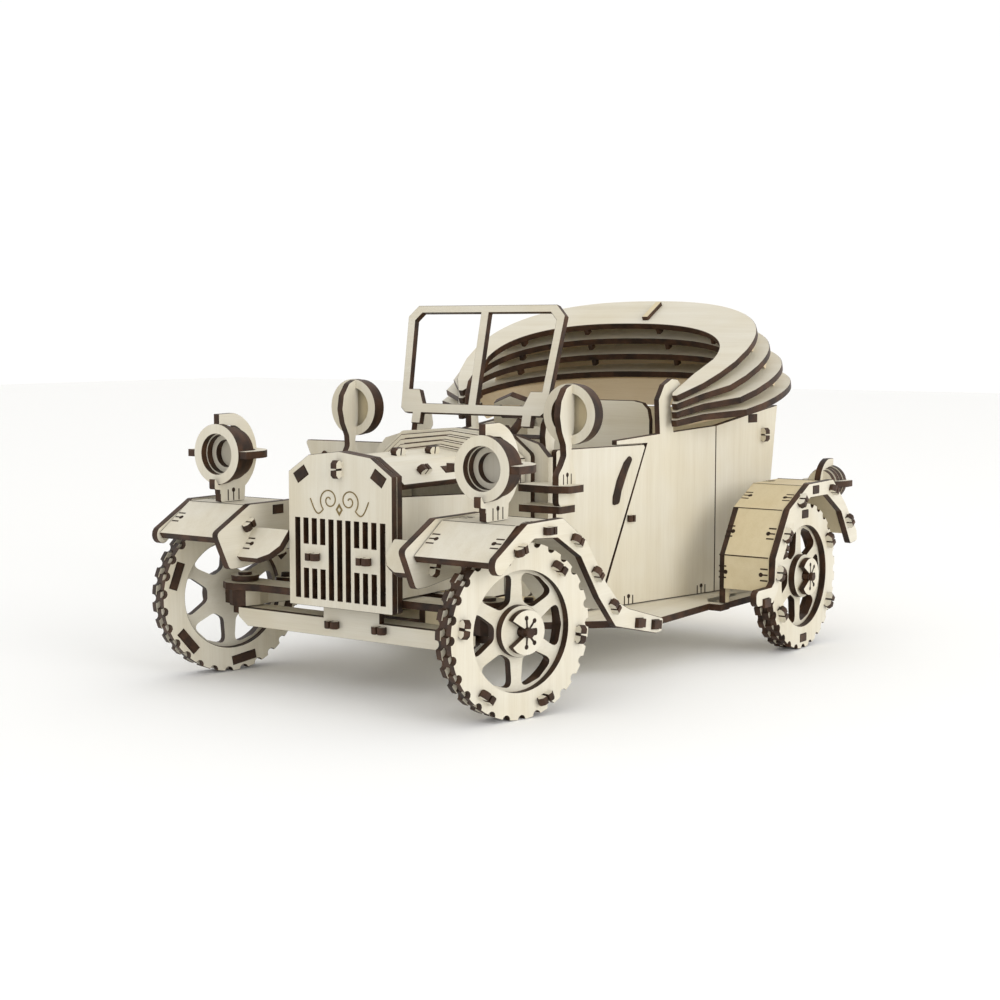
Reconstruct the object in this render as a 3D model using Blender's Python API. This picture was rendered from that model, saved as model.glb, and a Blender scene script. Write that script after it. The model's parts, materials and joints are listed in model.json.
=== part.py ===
"""Vintage open touring car, a wooden 3D jigsaw model of laser-cut plywood plates.

Lengths are in millimetres and angles in degrees; MM turns lengths into Blender's metres.
+X is the car's left, -Y its front, +Z up, and Z = 0 is the table. In the working frame
Y = 0 is midway between the axles; the root empty then centres the model on the origin.
"""
import math

import bmesh
import bpy
from mathutils import Matrix, Vector

MM = 0.001

# Sheet and clearances
PLY = 2.7                      # thickness of one plate
GAP = 0.3                      # room between neighbouring plates
PITCH = PLY + GAP
LAP = 0.2                      # how far plates joined into one piece run into each other
DOWEL_R = 1.7                  # axles, kingpins and pins
BORE_R = 1.8                   # holes that turn on a dowel
CENTRE_Y = 10.63                # middle of the model's length in the working frame

# Wheels and axles
WHEEL_R = 30.0
RIM_R = 20.8
TREAD_NOTCHES = 24
NOTCH_DEPTH = 1.6
NOTCH_HALF = 3.4               # half a notch, as an angle about the axle
SPOKES = 6
HUB_R = 8.1
AXLE_Z = 30.0
FRONT_Y = -86.0
REAR_Y = 86.0
KINGPIN_X = 56.6
WHEEL_SETBACK = 9.0            # kingpin to the inner face of a front wheel
REAR_FACE_X = 93.5             # outer face of a rear wheel
STEER = -15.8                  # the front wheels' angle about +Z as modelled
STEER_ARM = 18.0

# Radiator and bonnet
RADIATOR_Y = -97.5
RADIATOR_HALF = [(23.8, 31.65), (23.8, 79.85), (14.2, 86.2), (0.0, 87.9)]
SLOT_COUNT = 11
SLOT_PITCH = 3.92
SLOT_W = 2.2
SLOT_Z = (34.5, 63.4)
SLOT_BAR_Z = (45.2, 54.2)
ENGINE_X = 20.7
BONNET_HALF = [(24.5, 76.8), (16.2, 84.1), (0.0, 86.2)]
COWL_Y = -40.6                 # front of the first stepped cowl plate
COWL_STEPS = 4
SCUTTLE_X = 35.0
SCUTTLE_Z = (30.4, 93.2)

# Body
FLARE_X0 = 38.29               # body side at Y = 0
FLARE = 0.2257                 # outward run of the body side per unit of Y
FLOOR_TOP = 21.0
DOOR_Y = -12.5
DOOR_TOP = 85.0
DOOR_OPEN = 83.0               # the right-hand door stands open by this angle
POST_Y = 50.9
SEAM_Y = 78.4                  # joint between side panel and quarter panel

# Wings, lamps
WING_OUT_X = 75.5              # inner face of a front wing's outer plate
WING_IN_X = 41.3
WING_BRACE = (-105.5, 47.4)      # front edge, in Y and Z, of the brace from a front wing to the radiator
WING_BRACE_RISE = (0.68, 0.73)   # the way it runs up and back from there
WING_BRACE_REACH = 14.0
REAR_WING_OUT_X = 94.8
REAR_WING_IN_X = 72.0
HEADLAMP = (60.9, -96.1, 84.4)
SIDE_LAMP = (51.5, -25.4, 99.7)
TAIL_LAMP = (86.0, 127.0, 65.5)
LAMP_R = 11.3
TAIL_LAMP_R = 7.4

# Windscreen
SCREEN_Y = -17.0
SCREEN_Z = 97.6
SCREEN_LEAN = 13.9

# Folded hood: each bow's tilt, height at the posts, half width and reach backwards
BOWS = [
    (29.0, 106.0, 68.8, 77.4),
    (23.6, 102.4, 73.2, 82.0),
    (18.6, 98.8, 77.6, 87.0),
    (13.6, 95.2, 80.2, 92.0),
]
BOW_SIDE_W = 12.0
BOW_BACK_W = 21.0

MATERIALS = {
    "birch_face": ((0.62, 0.50, 0.33), 0.62),
    "dowel": ((0.45, 0.30, 0.16), 0.6),
}


# ---------------------------------------------------------------- outlines

def arc(cx, cy, radius, start, end, count):
    """Points along an arc, both ends included; angles in degrees."""
    points = []
    for i in range(count):
        a = math.radians(start + (end - start) * i / (count - 1))
        points.append((cx + radius * math.cos(a), cy + radius * math.sin(a)))
    return points


def circle(radius, count, cx=0.0, cy=0.0):
    return arc(cx, cy, radius, 0.0, 360.0 * (count - 1) / count, count)


def box(x0, y0, x1, y1):
    return [(x0, y0), (x1, y0), (x1, y1), (x0, y1)]


def mirrored(half):
    """Close a right-hand half outline that ends on the middle line."""
    return half + [(-x, y) for x, y in reversed(half) if x > 0.0]


def rounded(points, radius, steps=2):
    """The outline with each corner rounded, as far as its edges allow."""
    result = []
    count = len(points)
    for i in range(count):
        here = Vector(points[i])
        before = Vector(points[i - 1]) - here
        after = Vector(points[(i + 1) % count]) - here
        turn = before.angle(after)
        if turn > math.radians(160):
            result.append(tuple(here))
            continue
        reach = min(radius / math.tan(turn / 2), before.length * 0.45, after.length * 0.45)
        start = here + before.normalized() * reach
        end = here + after.normalized() * reach
        for k in range(steps + 1):
            t = k / steps
            point = start * (1 - t) ** 2 + here * 2 * t * (1 - t) + end * t ** 2
            result.append((point.x, point.y))
    return result


def tread_ring(turn):
    """A ring with notches all round; turn shifts them by a share of their pitch."""
    points = []
    pitch = 360.0 / TREAD_NOTCHES
    land_r = WHEEL_R / math.cos(math.radians(NOTCH_HALF))
    for i in range(TREAD_NOTCHES):
        middle = (i + turn) * pitch
        corners = ((-NOTCH_HALF, land_r), (0.0, WHEEL_R - NOTCH_DEPTH), (NOTCH_HALF, land_r))
        for offset, radius in corners:
            a = math.radians(middle + offset)
            points.append((radius * math.cos(a), radius * math.sin(a)))
    return points


def spoke_window(index):
    """One of the openings between the spokes, wider towards the rim."""
    middle = 360.0 / SPOKES * (index + 0.5)
    inner = arc(0, 0, 10.2, middle - 13, middle + 13, 2)
    outer = arc(0, 0, RIM_R - 1.2, middle + 22.5, middle - 22.5, 3)
    return rounded(inner + outer, 2.4, 1)


# ---------------------------------------------------------------- frames

def frame(origin, x_axis, y_axis):
    """Local X and Y of a plate in the working frame; its thickness runs along local Z."""
    x = Vector(x_axis).normalized()
    y = Vector(y_axis).normalized()
    z = x.cross(y)
    matrix = Matrix((x, y, z)).transposed().to_4x4()
    matrix.translation = Vector(origin) * MM
    return matrix


def side_frame(x):
    """Outline in (Y, Z); the plate is centred on this X."""
    return frame((x, 0, 0), (0, 1, 0), (0, 0, 1))


def front_frame(y):
    """Outline in (X, Z); the plate is centred on this Y."""
    return frame((0, y, 0), (1, 0, 0), (0, 0, 1))


def flat_frame(z):
    return frame((0, 0, z), (1, 0, 0), (0, 1, 0))


def wheel_frame(origin, outward):
    """Outline seen from outside the wheel; local Z is the wheel's axis, outward."""
    up = Vector((0, 0, 1))
    return frame(origin, up.cross(Vector(outward)), up)


def flare_frame(side, inset=0.0):
    """Outline in (Y, Z) along a flared body side, centred one half plate inside it."""
    along = Vector((side * FLARE, 1.0, 0.0))
    inward = Vector((-side, FLARE, 0.0)).normalized()
    origin = Vector((side * FLARE_X0, 0.0, 0.0)) + inward * (PLY / 2 + inset)
    return frame(origin, along, (0, 0, 1))


def along_flare(points):
    """(Y, Z) points turned into lengths along the flared side."""
    stretch = math.hypot(1.0, FLARE)
    return [(y * stretch, z) for y, z in points]


# ---------------------------------------------------------------- solids

def clear_scene():
    for obj in list(bpy.data.objects):
        bpy.data.objects.remove(obj, do_unlink=True)


def new_collection(name):
    collection = bpy.data.collections.new(name)
    bpy.context.scene.collection.children.link(collection)
    return collection


def make_material(name, colour, roughness):
    material = bpy.data.materials.new(name)
    material.use_nodes = True
    shader = material.node_tree.nodes["Principled BSDF"]
    shader.inputs["Base Color"].default_value = (*colour, 1.0)
    shader.inputs["Roughness"].default_value = roughness
    shader.inputs["Metallic"].default_value = 0.0
    return material


def make_empty(name, matrix, parent=None):
    empty = bpy.data.objects.new(name, None)
    car.objects.link(empty)
    empty.parent = parent
    empty.matrix_local = matrix
    return empty


def turned_to(points, sign):
    """The outline running anticlockwise for sign +1, clockwise for -1."""
    area = sum(a[0] * b[1] - b[0] * a[1] for a, b in zip(points, points[1:] + points[:1]))
    return points if area * sign > 0 else list(reversed(points))


def plate_curve(name, loops, thickness):
    """A flat outline and its holes, as a filled and extruded curve."""
    data = bpy.data.curves.new(name, "CURVE")
    data.dimensions = "2D"
    data.fill_mode = "BOTH"
    data.extrude = thickness / 2 * MM
    for i, loop in enumerate(loops):
        loop = turned_to(loop, -1 if i else 1)
        spline = data.splines.new("POLY")
        spline.points.add(len(loop) - 1)
        for point, (x, y) in zip(spline.points, loop):
            point.co = (x * MM, y * MM, 0.0, 1.0)
        spline.use_cyclic_u = True
    obj = bpy.data.objects.new(name, data)
    car.objects.link(obj)
    return obj


def finish_piece(obj, matrix, parent, material):
    obj.parent = parent
    obj.matrix_local = matrix
    own = materials[material].copy()
    own.name = obj.name
    obj.data.materials.append(own)
    return obj


def as_mesh(obj):
    """The curve's evaluated shape as a mesh object with welded caps."""
    bpy.context.view_layer.update()
    graph = bpy.context.evaluated_depsgraph_get()
    mesh = bpy.data.meshes.new_from_object(obj.evaluated_get(graph))
    name = obj.name
    bpy.data.objects.remove(obj)
    shape = bmesh.new()
    shape.from_mesh(mesh)
    bmesh.ops.remove_doubles(shape, verts=shape.verts, dist=1e-6)
    shape.to_mesh(mesh)
    shape.free()
    solid = bpy.data.objects.new(name, mesh)
    solid.name = name
    car.objects.link(solid)
    return solid


def plate(name, loops, matrix, parent=None, thickness=PLY, material="birch_face"):
    return finish_piece(plate_curve(name, loops, thickness), matrix, parent or root, material)


def mesh_plate(name, loops, matrix, parent=None, thickness=PLY, material="birch_face"):
    """A plate that takes Boolean modifiers or serves in one."""
    solid = as_mesh(plate_curve(name, loops, thickness))
    return finish_piece(solid, matrix, parent or root, material)


def rod(name, radius, length, matrix, parent=None, material="dowel"):
    """A dowel along the matrix's local Z, centred on its origin."""
    mesh = bpy.data.meshes.new(name)
    shape = bmesh.new()
    bmesh.ops.create_cone(
        shape, cap_ends=True, segments=12, radius1=radius * MM, radius2=radius * MM, depth=length * MM
    )
    shape.to_mesh(mesh)
    shape.free()
    obj = bpy.data.objects.new(name, mesh)
    car.objects.link(obj)
    return finish_piece(obj, matrix, parent or root, material)


def join(target, *others):
    """Boolean unions; each other solid becomes a hidden helper."""
    for other in others:
        modifier = target.modifiers.new("Join", "BOOLEAN")
        modifier.operation = "UNION"
        modifier.object = other
        car.objects.unlink(other)
        helpers.objects.link(other)
        other.hide_render = True
        other.display_type = "WIRE"
    return target


# ---------------------------------------------------------------- wheels

def make_wheel(name, axis_empty):
    """Three plies on the empty's local Z: notched ring, spoked disc, notched ring."""
    for ply, offset, turn in (("tyre_outer", PITCH, 0.0), ("tyre_inner", -PITCH, 0.5)):
        ring = [tread_ring(turn), circle(RIM_R, 24)]
        plate(f"{name}_{ply}", ring, Matrix.Translation((0, 0, offset * MM)), axis_empty)
    windows = [spoke_window(i) for i in range(SPOKES)]
    disc_loops = [circle(WHEEL_R - 0.5, 36), circle(BORE_R, 12)] + windows
    disc = mesh_plate(f"{name}_spoke_disc", disc_loops, Matrix.Identity(4), axis_empty)
    hub_loops = [circle(HUB_R, 18), circle(BORE_R, 12)]
    hub_lift = Matrix.Translation((0, 0, (PLY - LAP) * MM))
    join(disc, mesh_plate(f"{name}_hub", hub_loops, hub_lift, axis_empty, PLY))


def knuckle_outline(side):
    """Kingpin eye, stub towards the wheel and steering arm to the rear."""
    eye = arc(0, 0, 6.0, -150, -40, 5)
    stub = [(8.2, -4.0), (8.2, 4.0), (5.0, 4.0)]
    arm = [(3.2, 8.0)] + arc(0, STEER_ARM, 3.4, 0, 180, 6) + [(-3.4, 8.0), (-5.6, 3.0)]
    points = eye + stub + arm
    if side > 0:
        return points
    return [(-x, y) for x, y in reversed(points)]


def make_front_corner(side, word):
    """Steering knuckle with its kingpin, stub axle and wheel, steered as one."""
    steer = Matrix.Rotation(math.radians(STEER), 4, "Z")
    place = Matrix.Translation(Vector((side * KINGPIN_X, FRONT_Y, AXLE_Z)) * MM)
    kingpin = make_empty(f"kingpin_axis_{word}", place @ steer, root)
    name = f"steering_knuckle_{word}"
    knuckle = mesh_plate(name, [knuckle_outline(side)], Matrix.Identity(4), kingpin, 6.0)
    pin = rod(f"{name}_kingpin", DOWEL_R, 14.0, Matrix.Translation((0, 0, 1.0 * MM)), kingpin)
    arm_pin_place = Matrix.Translation(Vector((0, STEER_ARM, 2.6)) * MM)
    arm_pin = rod(f"{name}_arm_pin", DOWEL_R, 10.0, arm_pin_place, kingpin)
    axle_place = wheel_frame((side * 13.0, 0, 0), (side, 0, 0))
    axle = rod(f"{name}_axle", DOWEL_R, 19.0, axle_place, kingpin)
    join(knuckle, pin, arm_pin, axle)
    wheel_x = side * (WHEEL_SETBACK + 1.5 * PLY + GAP)
    hub = make_empty(f"wheel_axis_front_{word}", wheel_frame((wheel_x, 0, 0), (side, 0, 0)), kingpin)
    make_wheel(f"wheel_front_{word}", hub)


def make_tie_rod():
    """Track rod between the two steering arms, above them."""
    turn = math.radians(STEER)
    pin_x = -math.sin(turn) * STEER_ARM
    pin_y = FRONT_Y + math.cos(turn) * STEER_ARM
    ends = [(pin_x + side * KINGPIN_X, pin_y) for side in (-1, 1)]
    outline = (
        arc(*ends[1], 4.0, -70, 70, 5)
        + [(ends[1][0] - 7, pin_y + 2.6), (ends[0][0] + 7, pin_y + 2.6)]
        + arc(*ends[0], 4.0, 110, 250, 5)
        + [(ends[0][0] + 7, pin_y - 2.6), (ends[1][0] - 7, pin_y - 2.6)]
    )
    holes = [circle(BORE_R, 12, *end) for end in ends]
    plate("tie_rod", [outline] + holes, flat_frame(AXLE_Z + 3.0 + GAP + PLY / 2))


def make_rear_axle():
    length = 2 * (REAR_FACE_X + 4.4)
    rod("rear_axle", DOWEL_R, length, wheel_frame((0, REAR_Y, AXLE_Z), (1, 0, 0)))
    for side, word in ((1, "left"), (-1, "right")):
        wheel_x = side * (REAR_FACE_X - 1.5 * PLY - GAP)
        place = wheel_frame((wheel_x, REAR_Y, AXLE_Z), (side, 0, 0))
        make_wheel(f"wheel_rear_{word}", make_empty(f"wheel_axis_rear_{word}", place, root))


# ---------------------------------------------------------------- chassis

def make_front_axle():
    """Axle beam on edge with a shelf for the kingpins behind it, and the plate above."""
    beam_y = RADIATOR_Y + 2 * PITCH + PLY / 2
    beam_half = [(50.5, 20.0), (55.0, 23.3), (55.0, 26.7), (13.0, 26.7), (13.0, 32.9), (0.0, 32.9)]
    beam = mesh_plate("front_axle_beam", [mirrored(beam_half)], front_frame(beam_y))
    back = beam_y + PLY / 2 - 0.2
    shelf_outline = [(-62.5, -83.5), (-60.0, back), (60.0, back), (62.5, -83.5)]
    shelf_outline += [(58.0, -79.5), (-58.0, -79.5)]
    pin_holes = [circle(BORE_R, 12, side * KINGPIN_X, FRONT_Y) for side in (-1, 1)]
    join(beam, mesh_plate("axle_shelf", [shelf_outline] + pin_holes, flat_frame(25.2)))
    eye_l = arc(KINGPIN_X, FRONT_Y, 8.3, -100, 100, 8)
    eye_r = arc(-KINGPIN_X, FRONT_Y, 8.3, 80, 280, 8)
    waist = [(45.0, -78.8), (-45.0, -78.8)]
    front = [(-45.0, -91.2), (45.0, -91.2)]
    top_z = AXLE_Z + 3.0 + GAP + PLY / 2
    plate("axle_top_plate", [eye_l + waist + eye_r + front] + pin_holes, flat_frame(top_z))


def make_chassis():
    """Two rails on edge carry the rear axle; the floor plate spreads into running boards."""
    for side, word in ((1, "left"), (-1, "right")):
        rail = [(-78.5, FLOOR_TOP + GAP), (104.0, FLOOR_TOP + GAP), (104.0, 28.0)]
        rail += [(98.0, 36.0), (78.0, 36.0), (72.0, 30.0), (-70.0, 30.0), (-78.5, 33.0)]
        axle_hole = circle(BORE_R, 12, REAR_Y, AXLE_Z)
        plate(f"chassis_rail_{word}", [rail, axle_hole], side_frame(side * (ENGINE_X + PLY / 2)))
    floor_half = [
        (0.0, -48.0), (30.0, -48.0), (36.0, -30.0), (60.0, -8.0), (70.6, -4.0), (69.2, 49.5),
        (74.6, 49.5), (74.6, 57.0), (68.8, 57.0), (66.8, 108.0), (0.0, 108.0),
    ]
    floor = floor_half + [(-x, y) for x, y in reversed(floor_half[1:-1])]
    plate("floor_plate", [floor], flat_frame(FLOOR_TOP - PLY / 2))


# ---------------------------------------------------------------- radiator and bonnet

def radiator_slots():
    """Eleven upright slots; two groups of three are broken by a bar."""
    slots = []
    middle = (SLOT_COUNT - 1) / 2
    low, high = SLOT_Z
    bar_low, bar_high = SLOT_BAR_Z
    for i in range(SLOT_COUNT):
        x = (i - middle) * SLOT_PITCH
        left, right = x - SLOT_W / 2, x + SLOT_W / 2
        if abs(i - middle) in (2, 3, 4):
            slots.append(box(left, low, right, bar_low))
            slots.append(box(left, bar_high, right, high))
        else:
            slots.append(box(left, low, right, high))
    return slots


def make_radiator():
    outline = mirrored(RADIATOR_HALF)
    plate("radiator_front", [outline] + radiator_slots(), front_frame(RADIATOR_Y + PLY / 2))
    window = box(-19.0, 38.0, 19.0, 60.0)
    plate("radiator_back", [outline, window], front_frame(RADIATOR_Y + PITCH + PLY / 2))


def roof_section(half, bottom):
    """Closed bonnet-shaped plate outline: roof line above, straight edge below."""
    return mirrored([(half[0][0], bottom)] + half)


def cowl_section(step):
    """The stepped cowl widens and rises towards the windscreen."""
    width = 26.5 + 2.1 * step
    peak = 87.2 + 1.7 * step
    return [(width, peak - 9.5), (width - 9.0, peak - 2.3), (0.0, peak)]


def make_bonnet():
    back = RADIATOR_Y + 2 * PITCH
    front_of_scuttle = COWL_Y + COWL_STEPS * PITCH
    for side, word in ((1, "left"), (-1, "right")):
        panel = [
            (back, 36.6), (-60.0, 36.6), (-56.0, 30.4), (front_of_scuttle - GAP, 30.4),
            (front_of_scuttle - GAP, 69.6), (back, 72.6),
        ]
        plate(f"engine_side_{word}", [panel], side_frame(side * (ENGINE_X + PLY / 2)))
    outer = mirrored(BONNET_HALF)
    inner_half = [(x - 1.9, z - PLY * 0.75) for x, z in BONNET_HALF[:2]] + [(0.0, 86.2 - PLY)]
    inner = mirrored(inner_half)
    skin = outer + list(reversed(inner))
    length = COWL_Y - LAP - GAP - back
    plate("bonnet", [skin], front_frame(back + length / 2), thickness=length)
    steps = None
    for i in range(COWL_STEPS):
        centre = COWL_Y + i * PITCH + (PITCH - LAP) / 2
        section = roof_section(cowl_section(i), 73.5)
        name = "cowl_steps" if i == 0 else f"cowl_step_{i}"
        ply = mesh_plate(name, [section], front_frame(centre), thickness=PITCH + LAP)
        steps = join(steps, ply) if steps else ply


def make_scuttle():
    """Scuttle plate with the bonnet's roof line, glued to the wider firewall plate behind it."""
    y = COWL_Y + COWL_STEPS * PITCH + GAP + PLY / 2
    low, high = SCUTTLE_Z
    half = [(SCUTTLE_X, low), (SCUTTLE_X, high - 9.0), (26.0, high - 2.0), (0.0, high)]
    footwell = mirrored([(17.0, 38.0), (17.0, 66.0), (0.0, 66.0)])
    scuttle = mesh_plate("scuttle", [rounded(mirrored(half), 1.5, 1), footwell], front_frame(y))
    wide = [(41.0, low), (41.0, high - 10.0), (36.5, high - 5.2), (26.0, high - 2.2), (0.0, high - 0.2)]
    firewall_place = front_frame(y + PITCH - LAP / 2)
    join(scuttle, mesh_plate("firewall", [mirrored(wide), footwell], firewall_place, thickness=PITCH + LAP))


# ---------------------------------------------------------------- windscreen and wheel

def screen_frame():
    lean = math.radians(SCREEN_LEAN)
    return frame((0, SCREEN_Y, SCREEN_Z), (1, 0, 0), (0, math.sin(lean), math.cos(lean)))


def make_windscreen():
    half = [
        (0.0, 0.0), (24.2, 0.0), (24.2, -4.2), (28.6, -4.2), (28.6, 0.0), (32.5, 0.0), (34.8, 2.0),
        (37.6, 39.2), (33.2, 43.6), (0.0, 43.6),
    ]
    pane = [(1.9, 3.9), (24.0, 3.9), (26.6, 9.6), (31.8, 9.6), (33.8, 37.6), (30.8, 40.6), (1.9, 40.6)]
    other = [(-x, v) for x, v in reversed(pane)]
    plate("windscreen_frame", [mirrored(half), pane, other], screen_frame())
    for side, word in ((1, "left"), (-1, "right")):
        bracket = [
            (-12.2, 73.0), (-8.0, 73.0), (-8.0, 88.0), (-3.0, 92.0), (-4.2, 98.0), (-11.2, 98.2),
            (-13.8, 94.5), (-14.6, 90.0),
        ]
        plate(f"windscreen_bracket_{word}", [rounded(bracket, 2.0)], side_frame(side * 30.9))


def make_steering_wheel():
    """Octagonal rim with two spokes on a dowel column."""
    lean = math.radians(35)
    place = frame((9.0, 4.0, 95.0), (1, 0, 0), (0, -math.sin(lean), math.cos(lean)))
    column_axis = make_empty("steering_column_axis", place, root)
    rim = circle(13.0, 8)
    openings = [
        rounded([(-9.3, 2.0), (9.3, 2.0), (7.0, 8.2), (-7.0, 8.2)], 1.0, 1),
        rounded([(-7.0, -8.2), (7.0, -8.2), (9.3, -2.0), (-9.3, -2.0)], 1.0, 1),
    ]
    wheel = mesh_plate("steering_wheel", [rim] + openings, Matrix.Identity(4), column_axis)
    column_place = Matrix.Translation((0, 0, 13.0 * MM))
    join(wheel, rod("steering_column", DOWEL_R, 30.0, column_place, column_axis))


# ---------------------------------------------------------------- body

def door_outline():
    front = DOOR_Y + 0.6
    points = [(front, FLOOR_TOP + 0.6), (10.5, FLOOR_TOP + 0.6), (37.0, DOOR_TOP), (front, DOOR_TOP)]
    return rounded(along_flare(points), 0.8, 1)


def side_panel_outline():
    """Side panel behind the door, with the rounded post that carries the hood."""
    post = [
        (53.0, 89.4), (51.0, 101.0), (53.6, 106.0), (57.0, 108.6), (55.0, 110.6), (51.5, 111.0),
        (47.2, 108.6), (44.0, 102.6), (44.8, 89.0),
    ]
    foot = [(11.4, FLOOR_TOP + GAP), (SEAM_Y, FLOOR_TOP + GAP), (SEAM_Y, 91.0)]
    front = [(20.4, 87.2), (20.4, DOOR_TOP + 0.4), (37.6, DOOR_TOP + 0.4)]
    return along_flare(foot + post + front)


def quarter_panel_outline():
    front = SEAM_Y + GAP
    rear = [(109.0, FLOOR_TOP + GAP), (114.0, 66.4), (117.6, 98.4)]
    return along_flare([(front, FLOOR_TOP + GAP)] + rear + [(front, 91.0)])


def make_body():
    axle_hole = circle(2.8, 12, REAR_Y * math.hypot(1.0, FLARE), AXLE_Z)
    for side, word in ((1, "left"), (-1, "right")):
        plate(f"side_panel_{word}", [side_panel_outline()], flare_frame(side))
        plate(f"quarter_panel_{word}", [quarter_panel_outline(), axle_hole], flare_frame(side))
        hinge = Vector((side * (FLARE_X0 + FLARE * DOOR_Y), DOOR_Y, 0.0))
        opening = DOOR_OPEN if side < 0 else 0.0
        swing = Matrix.Rotation(math.radians(opening), 4, "Z")
        at_hinge = Matrix.Translation(hinge * MM)
        axis = make_empty(f"door_hinge_{word}", at_hinge @ swing, root)
        place = at_hinge.inverted() @ flare_frame(side)
        plate(f"door_{word}", [door_outline()], place, axis)
    half = [(58.6, FLOOR_TOP + GAP), (60.4, 92.0), (54.0, 97.0), (0.0, 97.0)]
    lean = math.atan2(3.6, 32.0)
    rear = frame((0, 105.6, 0), (1, 0, 0), (0, math.sin(lean), math.cos(lean)))
    plate("back_panel", [mirrored(half)], rear)


def make_seat():
    """Seat cushion board, upright back and a front board."""
    back_half = [(31.0, 30.4), (31.0, 101.0), (0.0, 101.0)]
    back_points = rounded(mirrored(back_half), 8.0, 3)
    seat = mesh_plate("seat", [back_points], front_frame(68.0))
    board = box(-34.0, 34.0, 34.0, 68.0)
    riser = box(-30.0, 30.4, 30.0, 50.0)
    join(seat, mesh_plate("seat_board", [board], flat_frame(50.0)))
    join(seat, mesh_plate("seat_riser", [riser], front_frame(38.0)))


# ---------------------------------------------------------------- folded hood

def bow_outline(half, reach):
    """U-shaped bow in its own plane: X across, Y backwards from the posts."""
    straight = 34.0
    outer = []
    inner = []
    for i in range(13):
        a = math.radians(15.0 * i)
        across = math.copysign(abs(math.cos(a)) ** 0.84, math.cos(a))
        back = math.sin(a) ** 0.84
        outer.append((half * across, straight + (reach - straight) * back))
        inner_back = straight - 8.0 + (reach - BOW_BACK_W - straight + 8.0) * back
        inner.append(((half - BOW_SIDE_W) * across, inner_back))
    right_tip = [(51.6, 2.0), (51.0, -3.0), (53.6, -4.2), (57.0, 0.0)]
    right_tip += [(half - 4.0, 14.0), (half - 0.9, 24.0)]
    left_tip = [(-x, v) for x, v in reversed(right_tip)]
    return right_tip + outer + left_tip + [(-53.6, 14.0)] + list(reversed(inner)) + [(53.6, 14.0)]


def make_bows():
    for i, (tilt, height, half, reach) in enumerate(BOWS):
        t = math.radians(tilt)
        place = frame((0, POST_Y, height), (1, 0, 0), (0, math.cos(t), math.sin(t)))
        place = place @ Matrix.Translation((0, 0, -PLY / 2 * MM))
        plate(f"hood_bow_{i + 1}", [bow_outline(half, reach)], place)


# ---------------------------------------------------------------- wings

def strip_section(points, thickness=PLY):
    """A bent strip's cross-section: the outer line and a parallel one inside it."""
    inner = []
    for i, point in enumerate(points):
        here = Vector(point)
        before = (here - Vector(points[i - 1])).normalized() if i > 0 else None
        after = (Vector(points[i + 1]) - here).normalized() if i < len(points) - 1 else None
        direction = before if after is None else after if before is None else (before + after)
        direction = direction.normalized()
        normal = Vector((direction.y, -direction.x))
        half_turn = before.angle(after) / 2 if before and after else 0.0
        inner.append(tuple(here + normal * thickness / math.cos(half_turn)))
    return list(points) + list(reversed(inner))


def make_front_wings():
    outer = [
        (-108.7, 51.1), (-112.7, 55.0), (-94.3, 66.9), (-72.6, 67.0), (-57.2, 57.6), (-44.5, 41.7),
        (-34.6, 32.8), (-28.3, 30.0), (-3.3, 23.2), (-4.4, 18.2), (-8.9, 18.2), (-37.8, 24.7),
        (-49.3, 36.6), (-61.2, 52.4), (-75.9, 60.4), (-90.1, 61.4), (-103.6, 54.6),
    ]
    inner = [
        (-110.3, 44.0), (-117.0, 57.6), (-99.3, 67.0), (-72.6, 67.0), (-57.2, 57.6), (-44.5, 41.7),
        (-47.5, 39.0), (-60.2, 53.2), (-74.9, 58.0), (-80.0, 47.0), (-104.0, 44.0),
    ]
    crown = [(-112.0, 55.4), (-96.2, 66.2), (-73.0, 66.2), (-57.8, 57.0), (-45.2, 41.2), (-35.0, 32.0)]
    for side, word in ((1, "left"), (-1, "right")):
        out_x = side * (WING_OUT_X + PLY / 2)
        in_x = side * (WING_IN_X + PLY / 2)
        plate(f"wing_front_outer_{word}", [outer], side_frame(out_x))
        inner_plate = mesh_plate(f"wing_front_inner_{word}", [inner], side_frame(in_x))
        joint_x = WING_IN_X + 0.5
        brace = [(24.2, WING_BRACE_REACH), (24.2, 6.5), (27.0, 2.5), (31.5, 0.0)]
        brace += [(joint_x, 0.0), (joint_x, WING_BRACE_REACH)]
        brace_loop = [(side * x, v) for x, v in brace]
        brace_place = frame((0.0, *WING_BRACE), (1, 0, 0), (0.0, *WING_BRACE_RISE))
        join(inner_plate, mesh_plate(f"wing_brace_{word}", [brace_loop], brace_place))
        span_in = WING_IN_X + PLY + GAP
        span_out = WING_OUT_X - GAP
        middle = side * (span_in + span_out) / 2
        width = span_out - span_in
        plate(f"wing_front_crown_{word}", [strip_section(crown)], side_frame(middle), thickness=width)


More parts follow.
